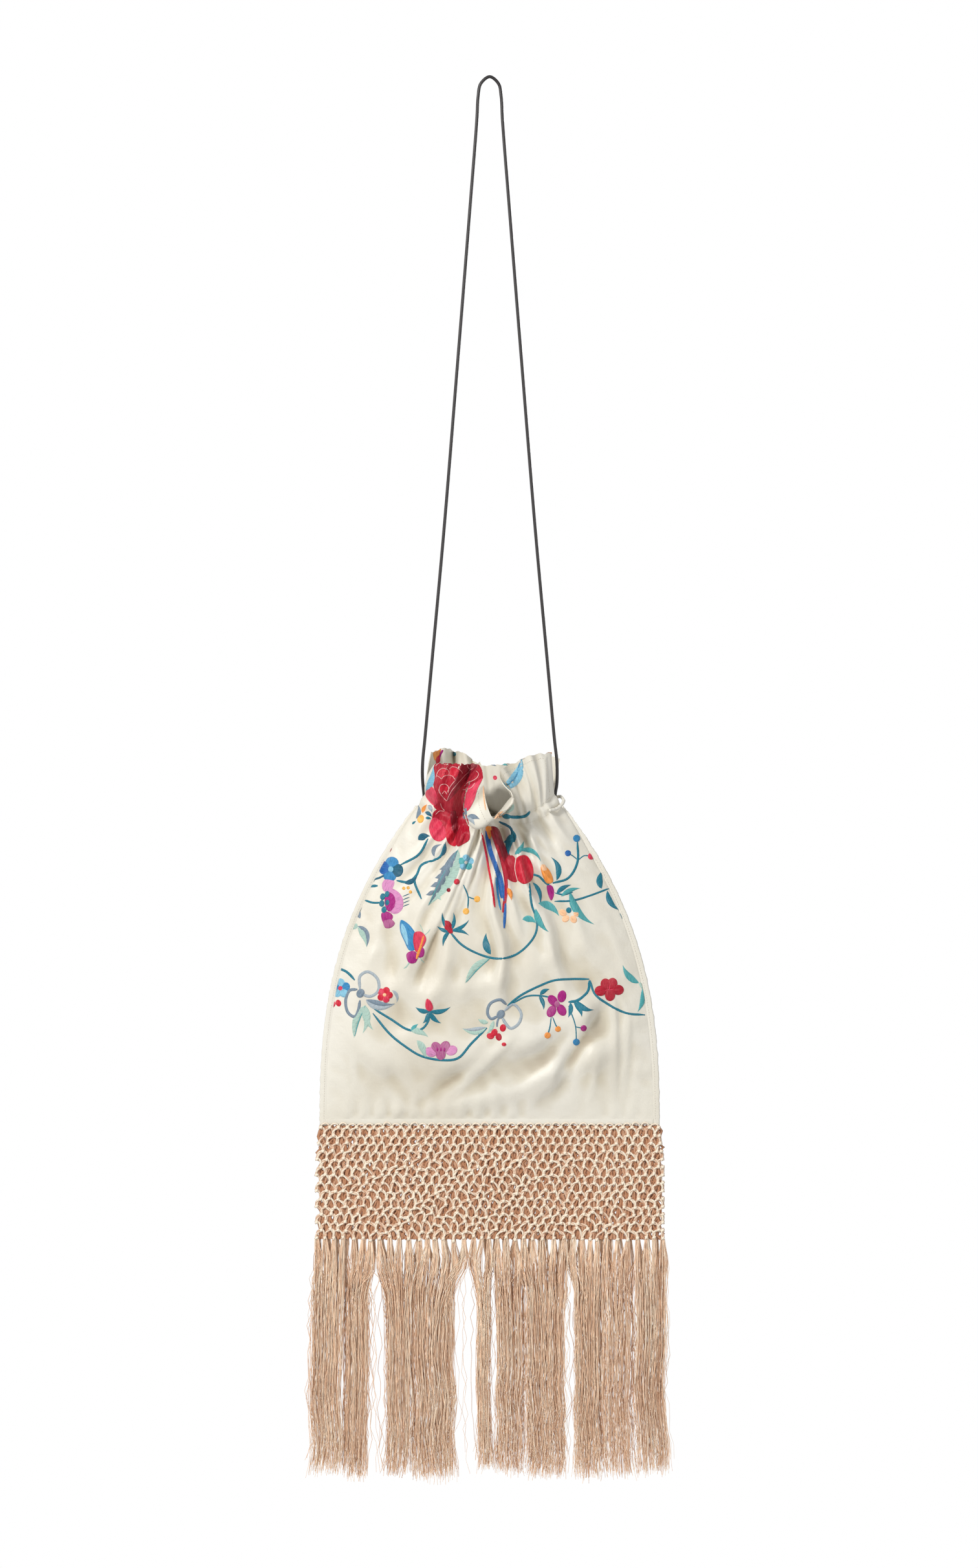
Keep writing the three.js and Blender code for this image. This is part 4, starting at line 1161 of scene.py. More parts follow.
class Needlework:
    """Collects the patches of floss on one panel and lays them on its cloth."""

    def __init__(self, panel, seen_from):
        self.panel = panel
        self.seen_from = seen_from
        self.places = []
        self.lifts = []
        self.threads = []
        self.faces = []
        self.colours = []
        self.count = 0

    def patch(self, places, dome, threads, colour, layer):
        rows, columns, _ = places.shape
        self.places.append(places.reshape(-1, 2))
        self.lifts.append((layer * LAYER_STEP + dome * DOME - EDGE_SINK * (dome < 0.05)).ravel())
        self.threads.append(threads.reshape(-1, 2))
        self.faces.append(grid_faces(rows, columns, self.count))
        self.colours.append(np.broadcast_to(floss_order.index(colour), (rows - 1, columns - 1)).ravel())
        self.count += rows * columns

    def band(self, line, half_widths, colour, layer, columns=5, slant=0.6):
        """A ribbon of stitches across a line."""
        s = np.linspace(1, -1, columns)
        places = line[:, None] + beside(line)[:, None] * (half_widths[:, None] * s)[..., None]
        steps = np.linalg.norm(np.diff(line, axis=0, prepend=line[:1]), axis=1)
        length = np.cumsum(steps)
        widest = max(half_widths.max(), 0.1)
        dome = np.sqrt(1 - s**2)[None] * np.minimum(half_widths / widest * 1.4, 1)[:, None]
        dome = dome * min(widest, 1)
        sideways = half_widths[:, None] * s
        threads = np.stack([length[:, None] + slant * sideways, sideways], axis=-1)
        self.patch(places, dome, threads, colour, layer)

    def stem(self, points, colour="teal", width=2.1, layer=0):
        line = spline(points, 6)
        ends = np.minimum(np.arange(len(line)), np.arange(len(line))[::-1])
        half = width / 2 * STEM_FULLNESS * np.clip(0.5 + ends * 0.25, 0, 1)
        self.band(line, half, colour, layer)

    def leaf(self, base, tip, width, colour="teal", bend=0.0, second=None, layer=1):
        """A pointed leaf. bend is the midrib's bow as a share of its length."""
        base, tip = np.array(base, float), np.array(tip, float)
        way = tip - base
        side = np.array([-way[1], way[0]])
        t = np.linspace(0, 1, 13)
        line = base + way * t[:, None] + side * (4 * bend * t * (1 - t))[:, None]
        half = width / 2 * np.sin(np.pi * t**0.75) ** 1.15 + 0.05
        if second is None:
            self.band(line, half, colour, layer, 7, 0.8)
            return
        for turn, shade in ((0.5, colour), (-0.5, second)):
            middle = line + beside(line) * (half * turn)[:, None]
            self.band(middle, half * 0.52, shade, layer, 5, 1.2 * turn)

    def blob(self, outline, colour, angle=90, layer=1, height=1.0):
        """A filled shape inside a smooth closed outline, with its threads lying at an angle."""
        points = np.array(outline, float)
        closed = np.vstack([points[-1:], points, points[:2]])
        middle = points.mean(axis=0)
        spacing = np.linalg.norm(np.diff(closed, axis=0), axis=1).mean()
        steps = max(3, round(spacing / PATCH_STEP))
        edge = spline(closed, steps)[steps:-steps]
        reach = np.linalg.norm(points - middle, axis=1).mean()
        share = np.sin(np.linspace(0.02, np.pi / 2, max(4, round(reach / PATCH_STEP) + 2)))
        places = middle + (edge[None] - middle) * share[:, None, None]
        dome = np.broadcast_to(np.sqrt(1 - share**2)[:, None] * height, places.shape[:2])
        lean = math.radians(angle)
        across = places @ np.array([-math.sin(lean), math.cos(lean)])
        along = places @ np.array([math.cos(lean), math.sin(lean)])
        self.patch(places[:, ::-1], dome, np.stack([across, along], axis=-1)[:, ::-1], colour, layer)

    def oval(self, centre, length, width, angle, colour, layer=1):
        """A petal or berry: longer one way, threads lying along it."""
        turn = np.linspace(0, 2 * np.pi, 9)[:-1]
        lean = math.radians(angle)
        along, across = np.cos(turn) * length / 2, np.sin(turn) * width / 2
        x = centre[0] + along * math.cos(lean) - across * math.sin(lean)
        y = centre[1] + along * math.sin(lean) + across * math.cos(lean)
        self.blob(np.stack([x, y], axis=-1), colour, angle, layer)

    def dot(self, centre, size, colour, layer=1):
        self.oval(centre, size, size, 40, colour, layer)

    def flower(self, centre, radius, petals, colours, turn=90, middle=None, layer=1):
        """A ring of oval petals, its colours taken in turn, and a middle."""
        for k in range(petals):
            angle = turn + 360 * k / petals
            lean = math.radians(angle)
            reach = radius * 0.56
            place = (centre[0] + reach * math.cos(lean), centre[1] + reach * math.sin(lean))
            width = radius * 2.2 * math.sin(math.pi / petals) * 0.72
            self.oval(place, radius * 0.98, width, angle, colours[k % len(colours)], layer + (k % 2) * 0.5)
        if middle:
            self.dot(centre, radius * 0.5, middle, layer + 2)

    def spray(self, base, tips, width, colour="teal", layer=1):
        """Leaves that fan out from one place."""
        for k, tip in enumerate(tips):
            self.leaf(base, tip, width, colour, 0.12 * (-1) ** k, layer=layer)

    def berry(self, stem, size, colour, stem_colour="teal"):
        """A berry at the end of a stem."""
        self.stem(stem, stem_colour, 1.1)
        self.dot(stem[-1], size, colour, 1)

    def finish(self, name):
        places = np.vstack(self.places)
        x = -self.seen_from * places[:, 0]
        z = places[:, 1] + BOTTOM_LEVEL
        a, t = cloth_map(self.panel, self.seen_from)(x, z)
        below = cloth_point(self.panel, a, t)
        normals = cloth_normal(self.panel, a, t)
        lift = np.concatenate(self.lifts)
        inner_face = normals[:, 1] * self.seen_from < 0
        lift = np.where(inner_face, -CLOTH_THICKNESS - lift, lift)
        points = below + normals * lift[:, None]
        missed = np.hypot(below[:, 0] - x, below[:, 2] - z) > FARTHEST_MISS
        faces = np.vstack(self.faces)
        corners = points[faces]
        longest = np.linalg.norm(corners - np.roll(corners, 1, axis=1), axis=2).max(axis=1)
        kept = ~missed[faces].any(axis=1) & (longest < LONGEST_SPAN)
        work = add_mesh(
            name,
            points,
            faces[kept],
            [floss[key] for key in floss_order],
            indices=np.concatenate(self.colours)[kept],
            uv=np.vstack(self.threads),
        )
        return dress(work, "silk")


def sew_upper_left(work):
    """Blue and pink flowers, the split leaf and the stems left of the middle."""
    work.stem([(-47.5, 221.6), (-54.6, 209.5), (-68.7, 201.4)])
    work.leaf((-55, 220.5), (-46, 223.5), 5.5, "deep_teal", 0.15)
    work.stem([(-34.4, 217.6), (-38.4, 207.5), (-52.5, 201.4), (-56.6, 193.3), (-62.7, 188.3),
               (-71.8, 189.3)])
    work.leaf((-37.5, 208), (-34.2, 219), 3.2, "deep_teal", -0.1)
    work.stem([(-58, 192), (-57.6, 187.3), (-52.5, 175.2)])
    work.leaf((-66, 187.6), (-55.6, 193.5), 4, "deep_teal", -0.15)
    work.stem([(-91.8, 189.7), (-85.5, 191.2), (-81, 193.5)], "deep_teal", 1.8)
    work.stem([(-93, 184.8), (-86.4, 185.2)], "teal", 2.4)
    work.stem([(-97, 174.2), (-90.5, 172.2), (-84, 172.2)], "teal", 1.8)
    work.leaf((-42.5, 207.5), (-36.6, 217.2), 3.2, "slate", 0.32)
    blues = ["blue", "cobalt", "blue", "deep_teal"]
    work.flower((-76.2, 198), 9.2, 4, blues, 80, "light_blue")
    work.blob([(-83, 187), (-78, 192), (-73.5, 188.5), (-76, 182), (-81.5, 181)], "lilac", 70)
    work.blob([(-77, 183), (-71, 181), (-66.8, 175), (-67.5, 167), (-73, 163.5), (-78.5, 167)], "lilac", 20)
    work.blob([(-79, 180), (-74.5, 180), (-71, 174.5), (-72.5, 168), (-78, 165.5),
               (-81, 172)], "magenta", 60, 2)
    work.blob([(-83.5, 164), (-79, 165.5), (-74.5, 162), (-77, 157), (-81.5, 156)], "magenta", 80)
    work.blob([(-82, 158.5), (-77, 160), (-73, 156.5), (-76, 153), (-80.5, 152.8)], "mauve", 80, 2)
    for place in [(-82.5, 176.8), (-83.2, 171.6), (-78.6, 172.4), (-81.4, 166.8), (-79, 178.6)]:
        work.oval(place, 5.2, 4, 80, "teal", 3)
    for place in [(-66.2, 183.4), (-62.8, 183.8), (-61, 180.6)]:
        work.dot(place, 2.6, "amber", 1)
    for rise in (177.6, 175, 172.4, 169.8):
        work.stem([(-67, rise - 0.5), (-61.8, rise + 1.6)], "deep_teal", 0.9)
    work.leaf((-24.3, 213.6), (-47.5, 170.1), 12.5, "mint", 0.06, "slate")
    for share in (0.3, 0.45, 0.6, 0.75):
        x, h = mix(-24.3, -47.5, share), mix(213.6, 170.1, share)
        work.leaf((x - 1, h + 1), (x - 7.5, h - 2.5), 3.4, "slate", 0.1)
        work.leaf((x + 1, h), (x + 4.5, h - 6.5), 3.2, "mint", -0.1)
    work.stem([(-24.6, 212.8), (-36.5, 192.5), (-47, 171)], "light_teal", 0.7, 3)
    work.flower((-18.2, 203.4), 6.0, 5, ["light_blue", "light_teal"], 90, "white")
    work.dot((-25.3, 188.7), 4.6, "red")
    work.dot((-31.6, 182.3), 3.2, "deep_crimson")
    work.stem([(-20.2, 186.3), (-16.6, 177.2), (-16.8, 168.1)], width=1.3)
    work.dot((-18.2, 165.9), 5, "amber")
    work.berry([(-16.6, 177.2), (-13, 175.6), (-9.7, 175.2)], 5, "amber")
    work.leaf((-102, 154), (-95, 137.8), 7, "slate", 0.15, "mint")
    work.leaf((-102.5, 156), (-108, 152), 4.5, "mint", 0.1)
    work.leaf((-100, 160), (-101.5, 170), 4, "slate", 0.1)
    work.leaf((-98, 152), (-94.5, 143), 4, "mint", -0.1)
    work.dot((-78.8, 214.6), 3.2, "red")
    work.dot((-84.5, 205), 2.6, "rose")
    work.leaf((-56.8, 237), (-55.4, 248), 3, "slate", -0.15)
    work.leaf((-51.8, 241.5), (-48.2, 248), 3, "orange", 0.1)
    work.oval((-53.2, 236.8), 6.4, 5.2, 70, "amber")
    work.leaf((-49.8, 242), (-44.5, 238.4), 3, "deep_teal", 0.1)
    work.leaf((-49.5, 237.4), (-45, 236.8), 2.2, "teal", 0.1)
    work.leaf((-59.6, 232.6), (-56.8, 235), 1.6, "teal", 0.1)
    work.leaf((-47.5, 247.5), (-44.6, 242), 3.2, "pale_grey", 0.1)


def sew_butterfly(work):
    wing = [(-68.3, 159), (-62.7, 156.2), (-57.6, 149.9), (-55, 142.8), (-56.6, 136.8), (-61.6, 135.7)]
    work.blob([*wing, (-65.7, 142.8), (-69, 150.9)], "blue", 130)
    work.blob([(-67.6, 156.8), (-64, 153), (-62, 145), (-62.6, 139), (-66, 145),
               (-68.2, 151)], "light_blue", 120, 2)
    work.blob([(-57.8, 149.4), (-52.4, 150), (-48.8, 145), (-52.6, 136.8), (-56.8, 134.7)], "rose", 100, 3)
    work.stem([(-58, 149), (-58.4, 142.5), (-57, 135.5)], "red", 1.0, 4)
    work.blob([(-64, 133), (-58.6, 135.5), (-55.2, 132), (-57, 126.4), (-62, 126.2)], "magenta", 100)
    work.blob([(-54.4, 138), (-50.6, 137.2), (-51, 131.2), (-54.6, 130.4)], "magenta", 100)
    work.stem([(-50.6, 147), (-53.4, 138), (-56.4, 129.4)], "orange", 2.4, 4)
    for tip in [(-53.8, 156), (-45.6, 152.2)]:
        work.stem([(-50.8, 147), ((-50.8 + tip[0]) / 2 + 0.6, (147 + tip[1]) / 2), tip], "mint", 0.8)
    work.stem([(-61.5, 127), (-64, 123.4), (-66, 121.8)], "mint", 1.2)
    work.stem([(-53.5, 129.6), (-50.4, 126.2)], "mint", 1.0)


def sew_bud_and_ring(work):
    """The red bud with its star of sepals and the stem that curves up to the right."""
    work.stem(
        [
            (-30.3, 149.9),
            (-22.2, 140.8),
            (-10.1, 133.8),
            (4.0, 129.7),
            (18.2, 131.7),
            (28.3, 138.8),
            (35.4, 148.9),
            (36.4, 159),
            (32.3, 171.1),
            (30.7, 187.3),
        ],
        width=2.0,
    )
    tips = [(-36.4, 165.1), (-27.9, 165.1), (-40.4, 154.4), (-15.8, 159.4), (-15.8, 147.3), (-35.8, 138.8)]
    work.spray((-30.3, 151), tips, 3.0, "teal")
    work.blob([(-35, 158.5), (-31, 158.2), (-28.4, 152), (-28.8, 148.8), (-33.4, 150.5)], "crimson", 120, 2)
    work.leaf((1, 132.7), (-2.6, 149.3), 5.5, "teal", 0.12)
    work.leaf((0, 129.7), (-18.8, 110.5), 5, "mint", -0.12)
    work.stem([(0.5, 130), (-9, 121.5), (-18, 111.5)], "light_teal", 0.7, 3)
    work.leaf((25.2, 159.6), (35.8, 156.4), 5, "light_teal", 0.18)
    work.leaf((35.4, 168), (45.5, 149.9), 5, "light_teal", -0.12)
    work.leaf((37.4, 172.1), (53.5, 162), 6, "light_teal", 0.14)
    work.leaf((33, 188), (38.6, 171), 3.4, "teal", 0.15)


def sew_tail(work):
    """Long tail feathers below the gathers, and the red bud and leaves beside them."""
    work.stem([(-6.1, 226), (-3.4, 214), (-0.6, 198), (2.4, 182), (4, 169.1)], "red", 1.9)
    work.stem([(-2.5, 228), (0.6, 212), (5.2, 199), (7.6, 190.5), (9.4, 176)], "cobalt", 3.6, 1)
    work.stem([(8, 196), (10.8, 182), (11.8, 168), (11.1, 152.9)], "cobalt", 2.2, 2)
    work.stem([(5, 192), (6.2, 180), (8.4, 167)], "blue", 1.8, 1)
    work.stem([(0.8, 229), (6.4, 214), (10.8, 199), (12.8, 184), (10.2, 165)], "crimson", 2.6, 2)
    work.blob([(1, 231), (6, 230), (11, 218), (16, 207), (13, 200), (8.5, 206),
               (4, 217)], "deep_crimson", 110)
    work.blob([(-3, 231), (1, 231), (1.6, 224), (-0.6, 221)], "orange", 100, 3)
    work.leaf((13.2, 184), (16.6, 174.4), 3.8, "orange", 0.1)
    work.blob([(12.1, 207.5), (18.2, 208.5), (21.6, 199.4), (20.6, 188.3), (14.1, 190.6),
               (10.1, 200.4)], "crimson", 100, 2)
    work.blob([(21.6, 207.5), (28.3, 208.8), (33.6, 199.4), (32.3, 189.8), (26.3, 187), (20.8, 191),
               (19.4, 199.4)], "red", 80, 3)
    work.stem([(20.6, 207), (19.6, 199), (21.6, 189.6)], "white", 0.6, 5)
    work.stem([(7.1, 234.8), (16.2, 229.7), (17.2, 223.7), (11.1, 218.6)], "deep_teal", 2.2)
    work.leaf((18.6, 226.5), (14.7, 208.8), 5.4, "teal", -0.1, layer=4)
    work.stem([(17, 228), (19.5, 224), (18.5, 219)], "teal", 2.2)
    work.leaf((19.2, 209.5), (26.3, 219.8), 4, "light_teal", -0.1)
    work.leaf((22.5, 212.5), (39.4, 204.2), 3.8, "light_teal", 0.22)
    work.stem([(11.4, 238.8), (21.9, 238.2), (28, 239.4), (31, 242.6)], "teal", 2.6)
    work.leaf((9, 240.2), (18.6, 239), 4, "teal", -0.1)


def sew_upper_right(work):
    """Berries, leaves and small flowers on the stems right of the middle."""
    work.blob([(39.4, 200.4), (43.6, 199.8), (47.5, 194.4), (48.6, 188.4), (44.4, 187.2),
               (41.2, 192.3)], "orange", 110, 2)
    work.blob([(39.6, 201.4), (42.4, 201.6), (44, 197), (41, 196.4)], "peach", 110, 3)
    work.blob([(44.4, 186.3), (48.2, 185.3), (49.7, 179.2), (47.5, 174), (44.9, 179.2)], "magenta", 100, 2)
    work.leaf((51.5, 189.5), (47.2, 207.5), 4.4, "teal", -0.2)
    work.stem([(48.5, 187.5), (60.6, 191.3), (67.7, 203.4), (67.7, 219.6)])
    work.dot((67.1, 221.8), 5.6, "blue", 2)
    work.berry([(67.6, 205.5), (64, 208.4), (60.4, 210.4)], 4.8, "cobalt")
    work.berry([(68.2, 205), (73, 208.4), (78.4, 207.9)], 5.2, "rose")
    work.stem([(32.3, 194.4), (38, 192.6), (42.4, 188.3), (46.5, 185.3)])
    work.stem([(50, 173.4), (64.7, 174.1), (78.8, 178.2), (93, 183.4)], width=1.8)
    work.leaf((86.4, 183), (87.6, 197), 5, "teal", 0.15)
    work.leaf((91, 181.4), (101, 166.1), 4.4, "teal", -0.16)
    work.leaf((62, 181), (80.6, 155.6), 6, "light_teal", -0.14)
    work.leaf((51.6, 179.4), (62.9, 186), 3.6, "teal", 0.1)
    work.leaf((55, 177.2), (69.9, 183.4), 3.6, "light_teal", 0.1)
    work.stem([(50, 180), (57, 178.6), (64, 180.4)], width=1.4)
    petals = [((56.4, 164.6), 150), ((58.6, 160), 220), ((64.6, 159.6), 300), ((67.6, 164.2), 20)]
    for place, angle in petals:
        work.oval(place, 6.2, 5, angle, "peach")
    work.oval((61, 166.6), 4.6, 4.2, 90, "teal", 2)
    work.stem([(53, 165.4), (55.2, 167.2)], "peach", 0.8)
    work.leaf((102.6, 164.4), (107.4, 161), 4.4, "teal", 0.1)


def bow(work, knot, left, right):
    """A tied bow: a knot with a ribbon loop on each side."""
    work.stem(left, "slate", 2.3, 1)
    work.stem(right, "pale_grey", 2.3, 1)
    work.oval(knot, 7.2, 6, 60, "slate", 3)


def sew_lower_left(work):
    """The left bow with its flowers, leaves and the two hanging stems."""
    work.stem([(-121, 122.4), (-116, 121), (-110.2, 118.6), (-104.1, 112.5)])
    bow(
        work,
        (-99.6, 102.4),
        [(-102, 105.4), (-108.1, 104.4), (-111.2, 96.3), (-109.1, 87.2), (-104.1, 84.4),
         (-101.4, 89), (-100, 97)],
        [(-100, 105.4), (-100, 115.5), (-94, 119), (-86.4, 113.5), (-85.9, 104.4), (-92, 100), (-98, 101.4)],
    )
    work.leaf((-95.5, 97.5), (-72.8, 94.6), 7.4, "slate", -0.14, "pale_grey")
    work.leaf((-75, 105), (-71.8, 95), 2.6, "pale_grey", 0.2)
    work.flower((-115.2, 106), 7.4, 5, ["light_blue", "blue", "light_blue"], 90, "rose")
    work.oval((-121.2, 93.6), 5.2, 4.2, 60, "rose", 1)
    work.oval((-116.8, 94.6), 5.4, 4.4, 110, "red", 1)
    work.flower((-80.8, 101.4), 6, 5, ["red", "rose"], 70, "peach")
    tips = [(-105, 84.6), (-104.5, 68), (-98, 71.5), (-89.6, 74)]
    work.spray((-96, 93), tips, 5, "mint")
    work.stem([(-96, 93), (-101.5, 79), (-104, 69.5)], "light_teal", 0.7, 3)
    work.stem([(-88.9, 90.3), (-76.8, 83), (-62.7, 74.6), (-52.6, 75), (-47.5, 81), (-46.2, 88)])
    tips = [(-57, 92), (-30, 92.4), (-51.6, 79.6), (-37.2, 79.6)]
    work.spray((-46.4, 89), tips, 3.8, "teal")
    work.blob([(-49.2, 91.4), (-48.2, 98.8), (-45.4, 97), (-43.6, 91), (-46.5, 89)], "rose", 90, 2)
    work.stem([(-90, 87), (-76.8, 71), (-64.7, 61.5), (-52.6, 54.3), (-36.4, 51.3), (-24.3, 52.9),
               (-14.2, 64), (-2, 76.1)])
    work.leaf((-62, 74.6), (-47.2, 69), 5, "mint", 0.1)
    work.leaf((-60, 73), (-55, 79), 3.4, "light_teal", 0.1)
    work.leaf((-56, 66.5), (-49.3, 51.6), 5.4, "mint", 0.1)
    petals = [((-45.2, 57.6), 160, "lilac"), ((-29.4, 58.8), 20, "lilac"), ((-41, 61), 120, "mauve")]
    petals += [((-34.4, 61.6), 60, "mauve"), ((-37.6, 56), 90, "mauve")]
    for layer, (place, angle, colour) in enumerate(petals):
        work.oval(place, 9.4, 7.6, angle, colour, 1 + layer * 0.4)
    for x in (-40.2, -37.4, -34.8):
        work.oval((x, 59.6), 3.4, 1.6, 90, "magenta", 4)


def sew_lower_right(work):
    """The middle bow and the stems, flowers and berries right of it."""
    bow(
        work,
        (8.5, 86.8),
        [(12.8, 94.3), (8.1, 98), (0.4, 94.8), (-1.6, 87.4), (1.2, 83.2), (6.4, 85.4)],
        [(11.1, 89.3), (18.2, 94.3), (24.3, 87.2), (22.2, 79.4), (16.2, 75.9), (12.1, 80), (9.8, 84)],
    )
    work.stem([(7.4, 85), (6, 81), (5.6, 77)], "slate", 1.8)
    work.leaf((-2.4, 76.6), (-21.2, 75.8), 6, "mint", 0.14, "pale_grey")
    work.leaf((-1, 80.4), (-9, 83), 3.6, "mint", 0.1)
    work.leaf((3, 82), (-2.6, 71.4), 3.4, "mint", 0.1)
    work.oval((10.2, 76.2), 6, 4.8, 80, "red")
    work.oval((0.6, 69.8), 6, 4.8, 170, "red")
    work.oval((7, 69.2), 6, 4.8, 100, "crimson")
    work.oval((3.6, 72.6), 6, 4.8, 60, "red")
    work.oval((11, 63.6), 3.6, 3, 0, "red")
    work.stem([(13.7, 93.3), (24.3, 101.4), (38.4, 108.5), (50.5, 112.9), (64, 113.6),
               (76.8, 113.4)], width=2.0)
    work.stem([(17.2, 94.8), (28.3, 100.4), (38.4, 101), (46.5, 99.6)], width=1.6)
    work.leaf((38.8, 101.6), (46.2, 106), 3.4, "teal", 0.1)
    work.leaf((38, 101), (41.6, 90.2), 3.2, "teal", 0.1)
    petals = [((55.6, 100.4), 78), ((48.6, 97.2), 130), ((47.6, 88.8), 60), ((55.4, 89.8), 120)]
    for layer, (place, angle) in enumerate(petals):
        work.oval(place, 9.6, 6.8, angle, "magenta", 1 + layer * 0.4)
    work.oval((51.8, 94.4), 5.4, 4.4, 90, "mauve", 3)
    work.stem([(76.8, 112.5), (75.8, 104.4), (67.5, 97.3), (60.6, 96)], width=2.4)
    work.leaf((62, 95.6), (60.4, 84), 3.6, "teal", 0.1)
    work.leaf((64.7, 95.6), (70.9, 84.8), 4, "teal", 0.12)
    work.leaf((66.5, 97.4), (80.2, 90), 4.4, "teal", -0.16)
    work.stem([(77.4, 112.5), (80.8, 102.4), (90.9, 94.3), (105.1, 87.2), (120, 85.4)], width=2.0)
    petals = [((89.4, 109.4), 100), ((94.6, 109.8), 80), ((99, 105), 0), ((92.8, 101), 270),
              ((85.4, 104.4), 180)]
    for layer, (place, angle) in enumerate(petals):
        work.oval(place, 9.2, 8, angle, "crimson", 1 + layer * 0.4)
    for tip in [(88.6, 104.6), (95.4, 105.4), (92.6, 108.6)]:
        work.stem([(92.2, 105.2), tip], "rose", 0.8, 4)
    work.leaf((115.5, 110), (102.7, 124), 5, "light_teal", 0.12)
    work.leaf((118.6, 107.4), (114, 87.4), 4.4, "light_teal", 0.1)
    work.leaf((115, 110.4), (122, 101), 4, "mint", 0.1)
    work.berry([(47.4, 84.6), (46.4, 77), (44.6, 70.4)], 5, "orange")
    work.berry([(48.4, 84.6), (50.6, 79), (52.6, 75.2)], 4.6, "orange")
    work.berry([(60.6, 93), (66, 78), (66.8, 65)], 5.4, "blue")
    work.berry([(66, 77), (69, 76.4), (72.4, 75.8)], 5, "magenta")


def sew_peony(work):
    """The great red flower that the gathers fold, with its petals outlined in white."""
    petals = [
        # outline, colour, angle of the threads, layer
        ([(-40.6, 281.8), (-24, 281), (-8.6, 278.9), (-5.2, 268), (-11, 263), (-9.8, 258),
          (-16.6, 247), (-20, 243), (-34, 242), (-43, 246), (-42.4, 257), (-43.8, 268)], "crimson", 75, 1),
        ([(-40.2, 271.8), (-37.4, 275.6), (-31.4, 274.4), (-31.2, 270), (-36, 268)], "red", 80, 2),
        ([(-31, 275.4), (-26.6, 276.2), (-21.6, 272), (-25, 269), (-31, 270.4)], "red", 95, 2),
        ([(-38.4, 262), (-35, 263.2), (-31.8, 260.6), (-33.6, 256.4), (-36.6, 256)], "red", 80, 2),
        # painted sheen: the left lobe in rose, lighter than the crimson around it
        ([(-49.6, 255.7), (-45.6, 262), (-41.2, 258), (-40, 249), (-42.4, 247),
          (-46.4, 250)], "rose", 100, 2),
        ([(-5.6, 268), (-11.4, 264.4), (-17.4, 262), (-22, 255), (-21, 247), (-17.4, 243),
          (-12, 251), (-9.6, 259)], "rose", 60, 2),
        # painted shadow: a deep crimson band along the shaded flank of the cloth's fold across the flower
        ([(-20, 280.4), (-9.6, 278.4), (-16, 269), (-25, 258), (-31.8, 250.6), (-31, 258),
          (-25, 270)], "deep_crimson", 50, 3),
        ([(-44, 240.6), (-38.6, 245), (-30, 242.6), (-20.4, 243.4), (-16.4, 236), (-16.6, 226),
          (-25, 224), (-40, 224)], "crimson", 85, 1),
        # painted sheen: the lower left lobe in rose, lighter than the crimson around it
        ([(-46.8, 230), (-43, 238), (-36.4, 234), (-33, 225), (-37.6, 219.6), (-43, 221)], "rose", 100, 2),
        ([(-33.6, 233), (-29.6, 237.4), (-25.4, 233), (-25, 220), (-26.4, 215.8),
          (-32, 218.4)], "red", 90, 2),
        ([(-24, 233), (-19.8, 237), (-16, 230), (-15.6, 221), (-20, 217.6), (-25, 216)], "crimson", 80, 3),
        # painted shade: a deep crimson band in the pleat between the lower lobes
        ([(-29.4, 243), (-26.6, 243), (-25.4, 230), (-27.6, 226), (-29.6, 232)], "deep_crimson", 90, 4),
    ]
    for outline, colour, angle, layer in petals:
        work.blob(outline, colour, angle, layer, height=0.5)
    lines = [
        [(-41, 268.7), (-39.3, 273.4), (-36, 275.6), (-32.2, 274.4), (-30.8, 271.2)],
        [(-31.4, 275.2), (-28.5, 276.8), (-25.2, 276.2), (-22.2, 273.7), (-21, 271.6)],
        [(-36.8, 267.4), (-34.8, 269.9), (-31.4, 270.5), (-28.1, 269.5), (-26.2, 266.6)],
        [(-40.6, 270.2), (-38.5, 269.1), (-36.7, 267.6)],
        [(-38.4, 256.8), (-38.4, 261), (-37, 263.2), (-34.3, 263.7), (-31.8, 262.2), (-31.2, 259.6),
         (-31.6, 257)],
        [(-36.6, 256.4), (-34.6, 258.6), (-32.6, 256)],
        [(-39.2, 259.6), (-36.6, 254.6), (-32.7, 250.8)],
        [(-32.7, 250.8), (-30.2, 256.2), (-26.8, 262), (-21.8, 267.8), (-16.8, 272.8), (-12, 276)],
        [(-26.6, 266.4), (-29.8, 262), (-32.6, 257.4)],
        [(-41.4, 277.4), (-38.5, 280), (-34.3, 280.8), (-30.2, 280.4), (-28.5, 278.8)],
        [(-18, 280), (-17.2, 276.8), (-14.8, 274.6)],
        [(-10.2, 273.7), (-8.4, 271.6), (-9.3, 268.7), (-12.7, 266.2), (-16.8, 264.5), (-20, 262)],
        [(-11, 264.5), (-13.5, 261.2), (-16.8, 259.6), (-21, 259.4)],
        [(-37.8, 249.4), (-36.8, 246), (-34.4, 243.4)],
        [(-41.6, 240.4), (-38.6, 243), (-34.6, 242.6)],
        [(-28.6, 238.4), (-26.4, 238.8), (-24.6, 238.2)],
    ]
    for line in lines:
        work.stem(line, "petal_line", 0.5, 4)


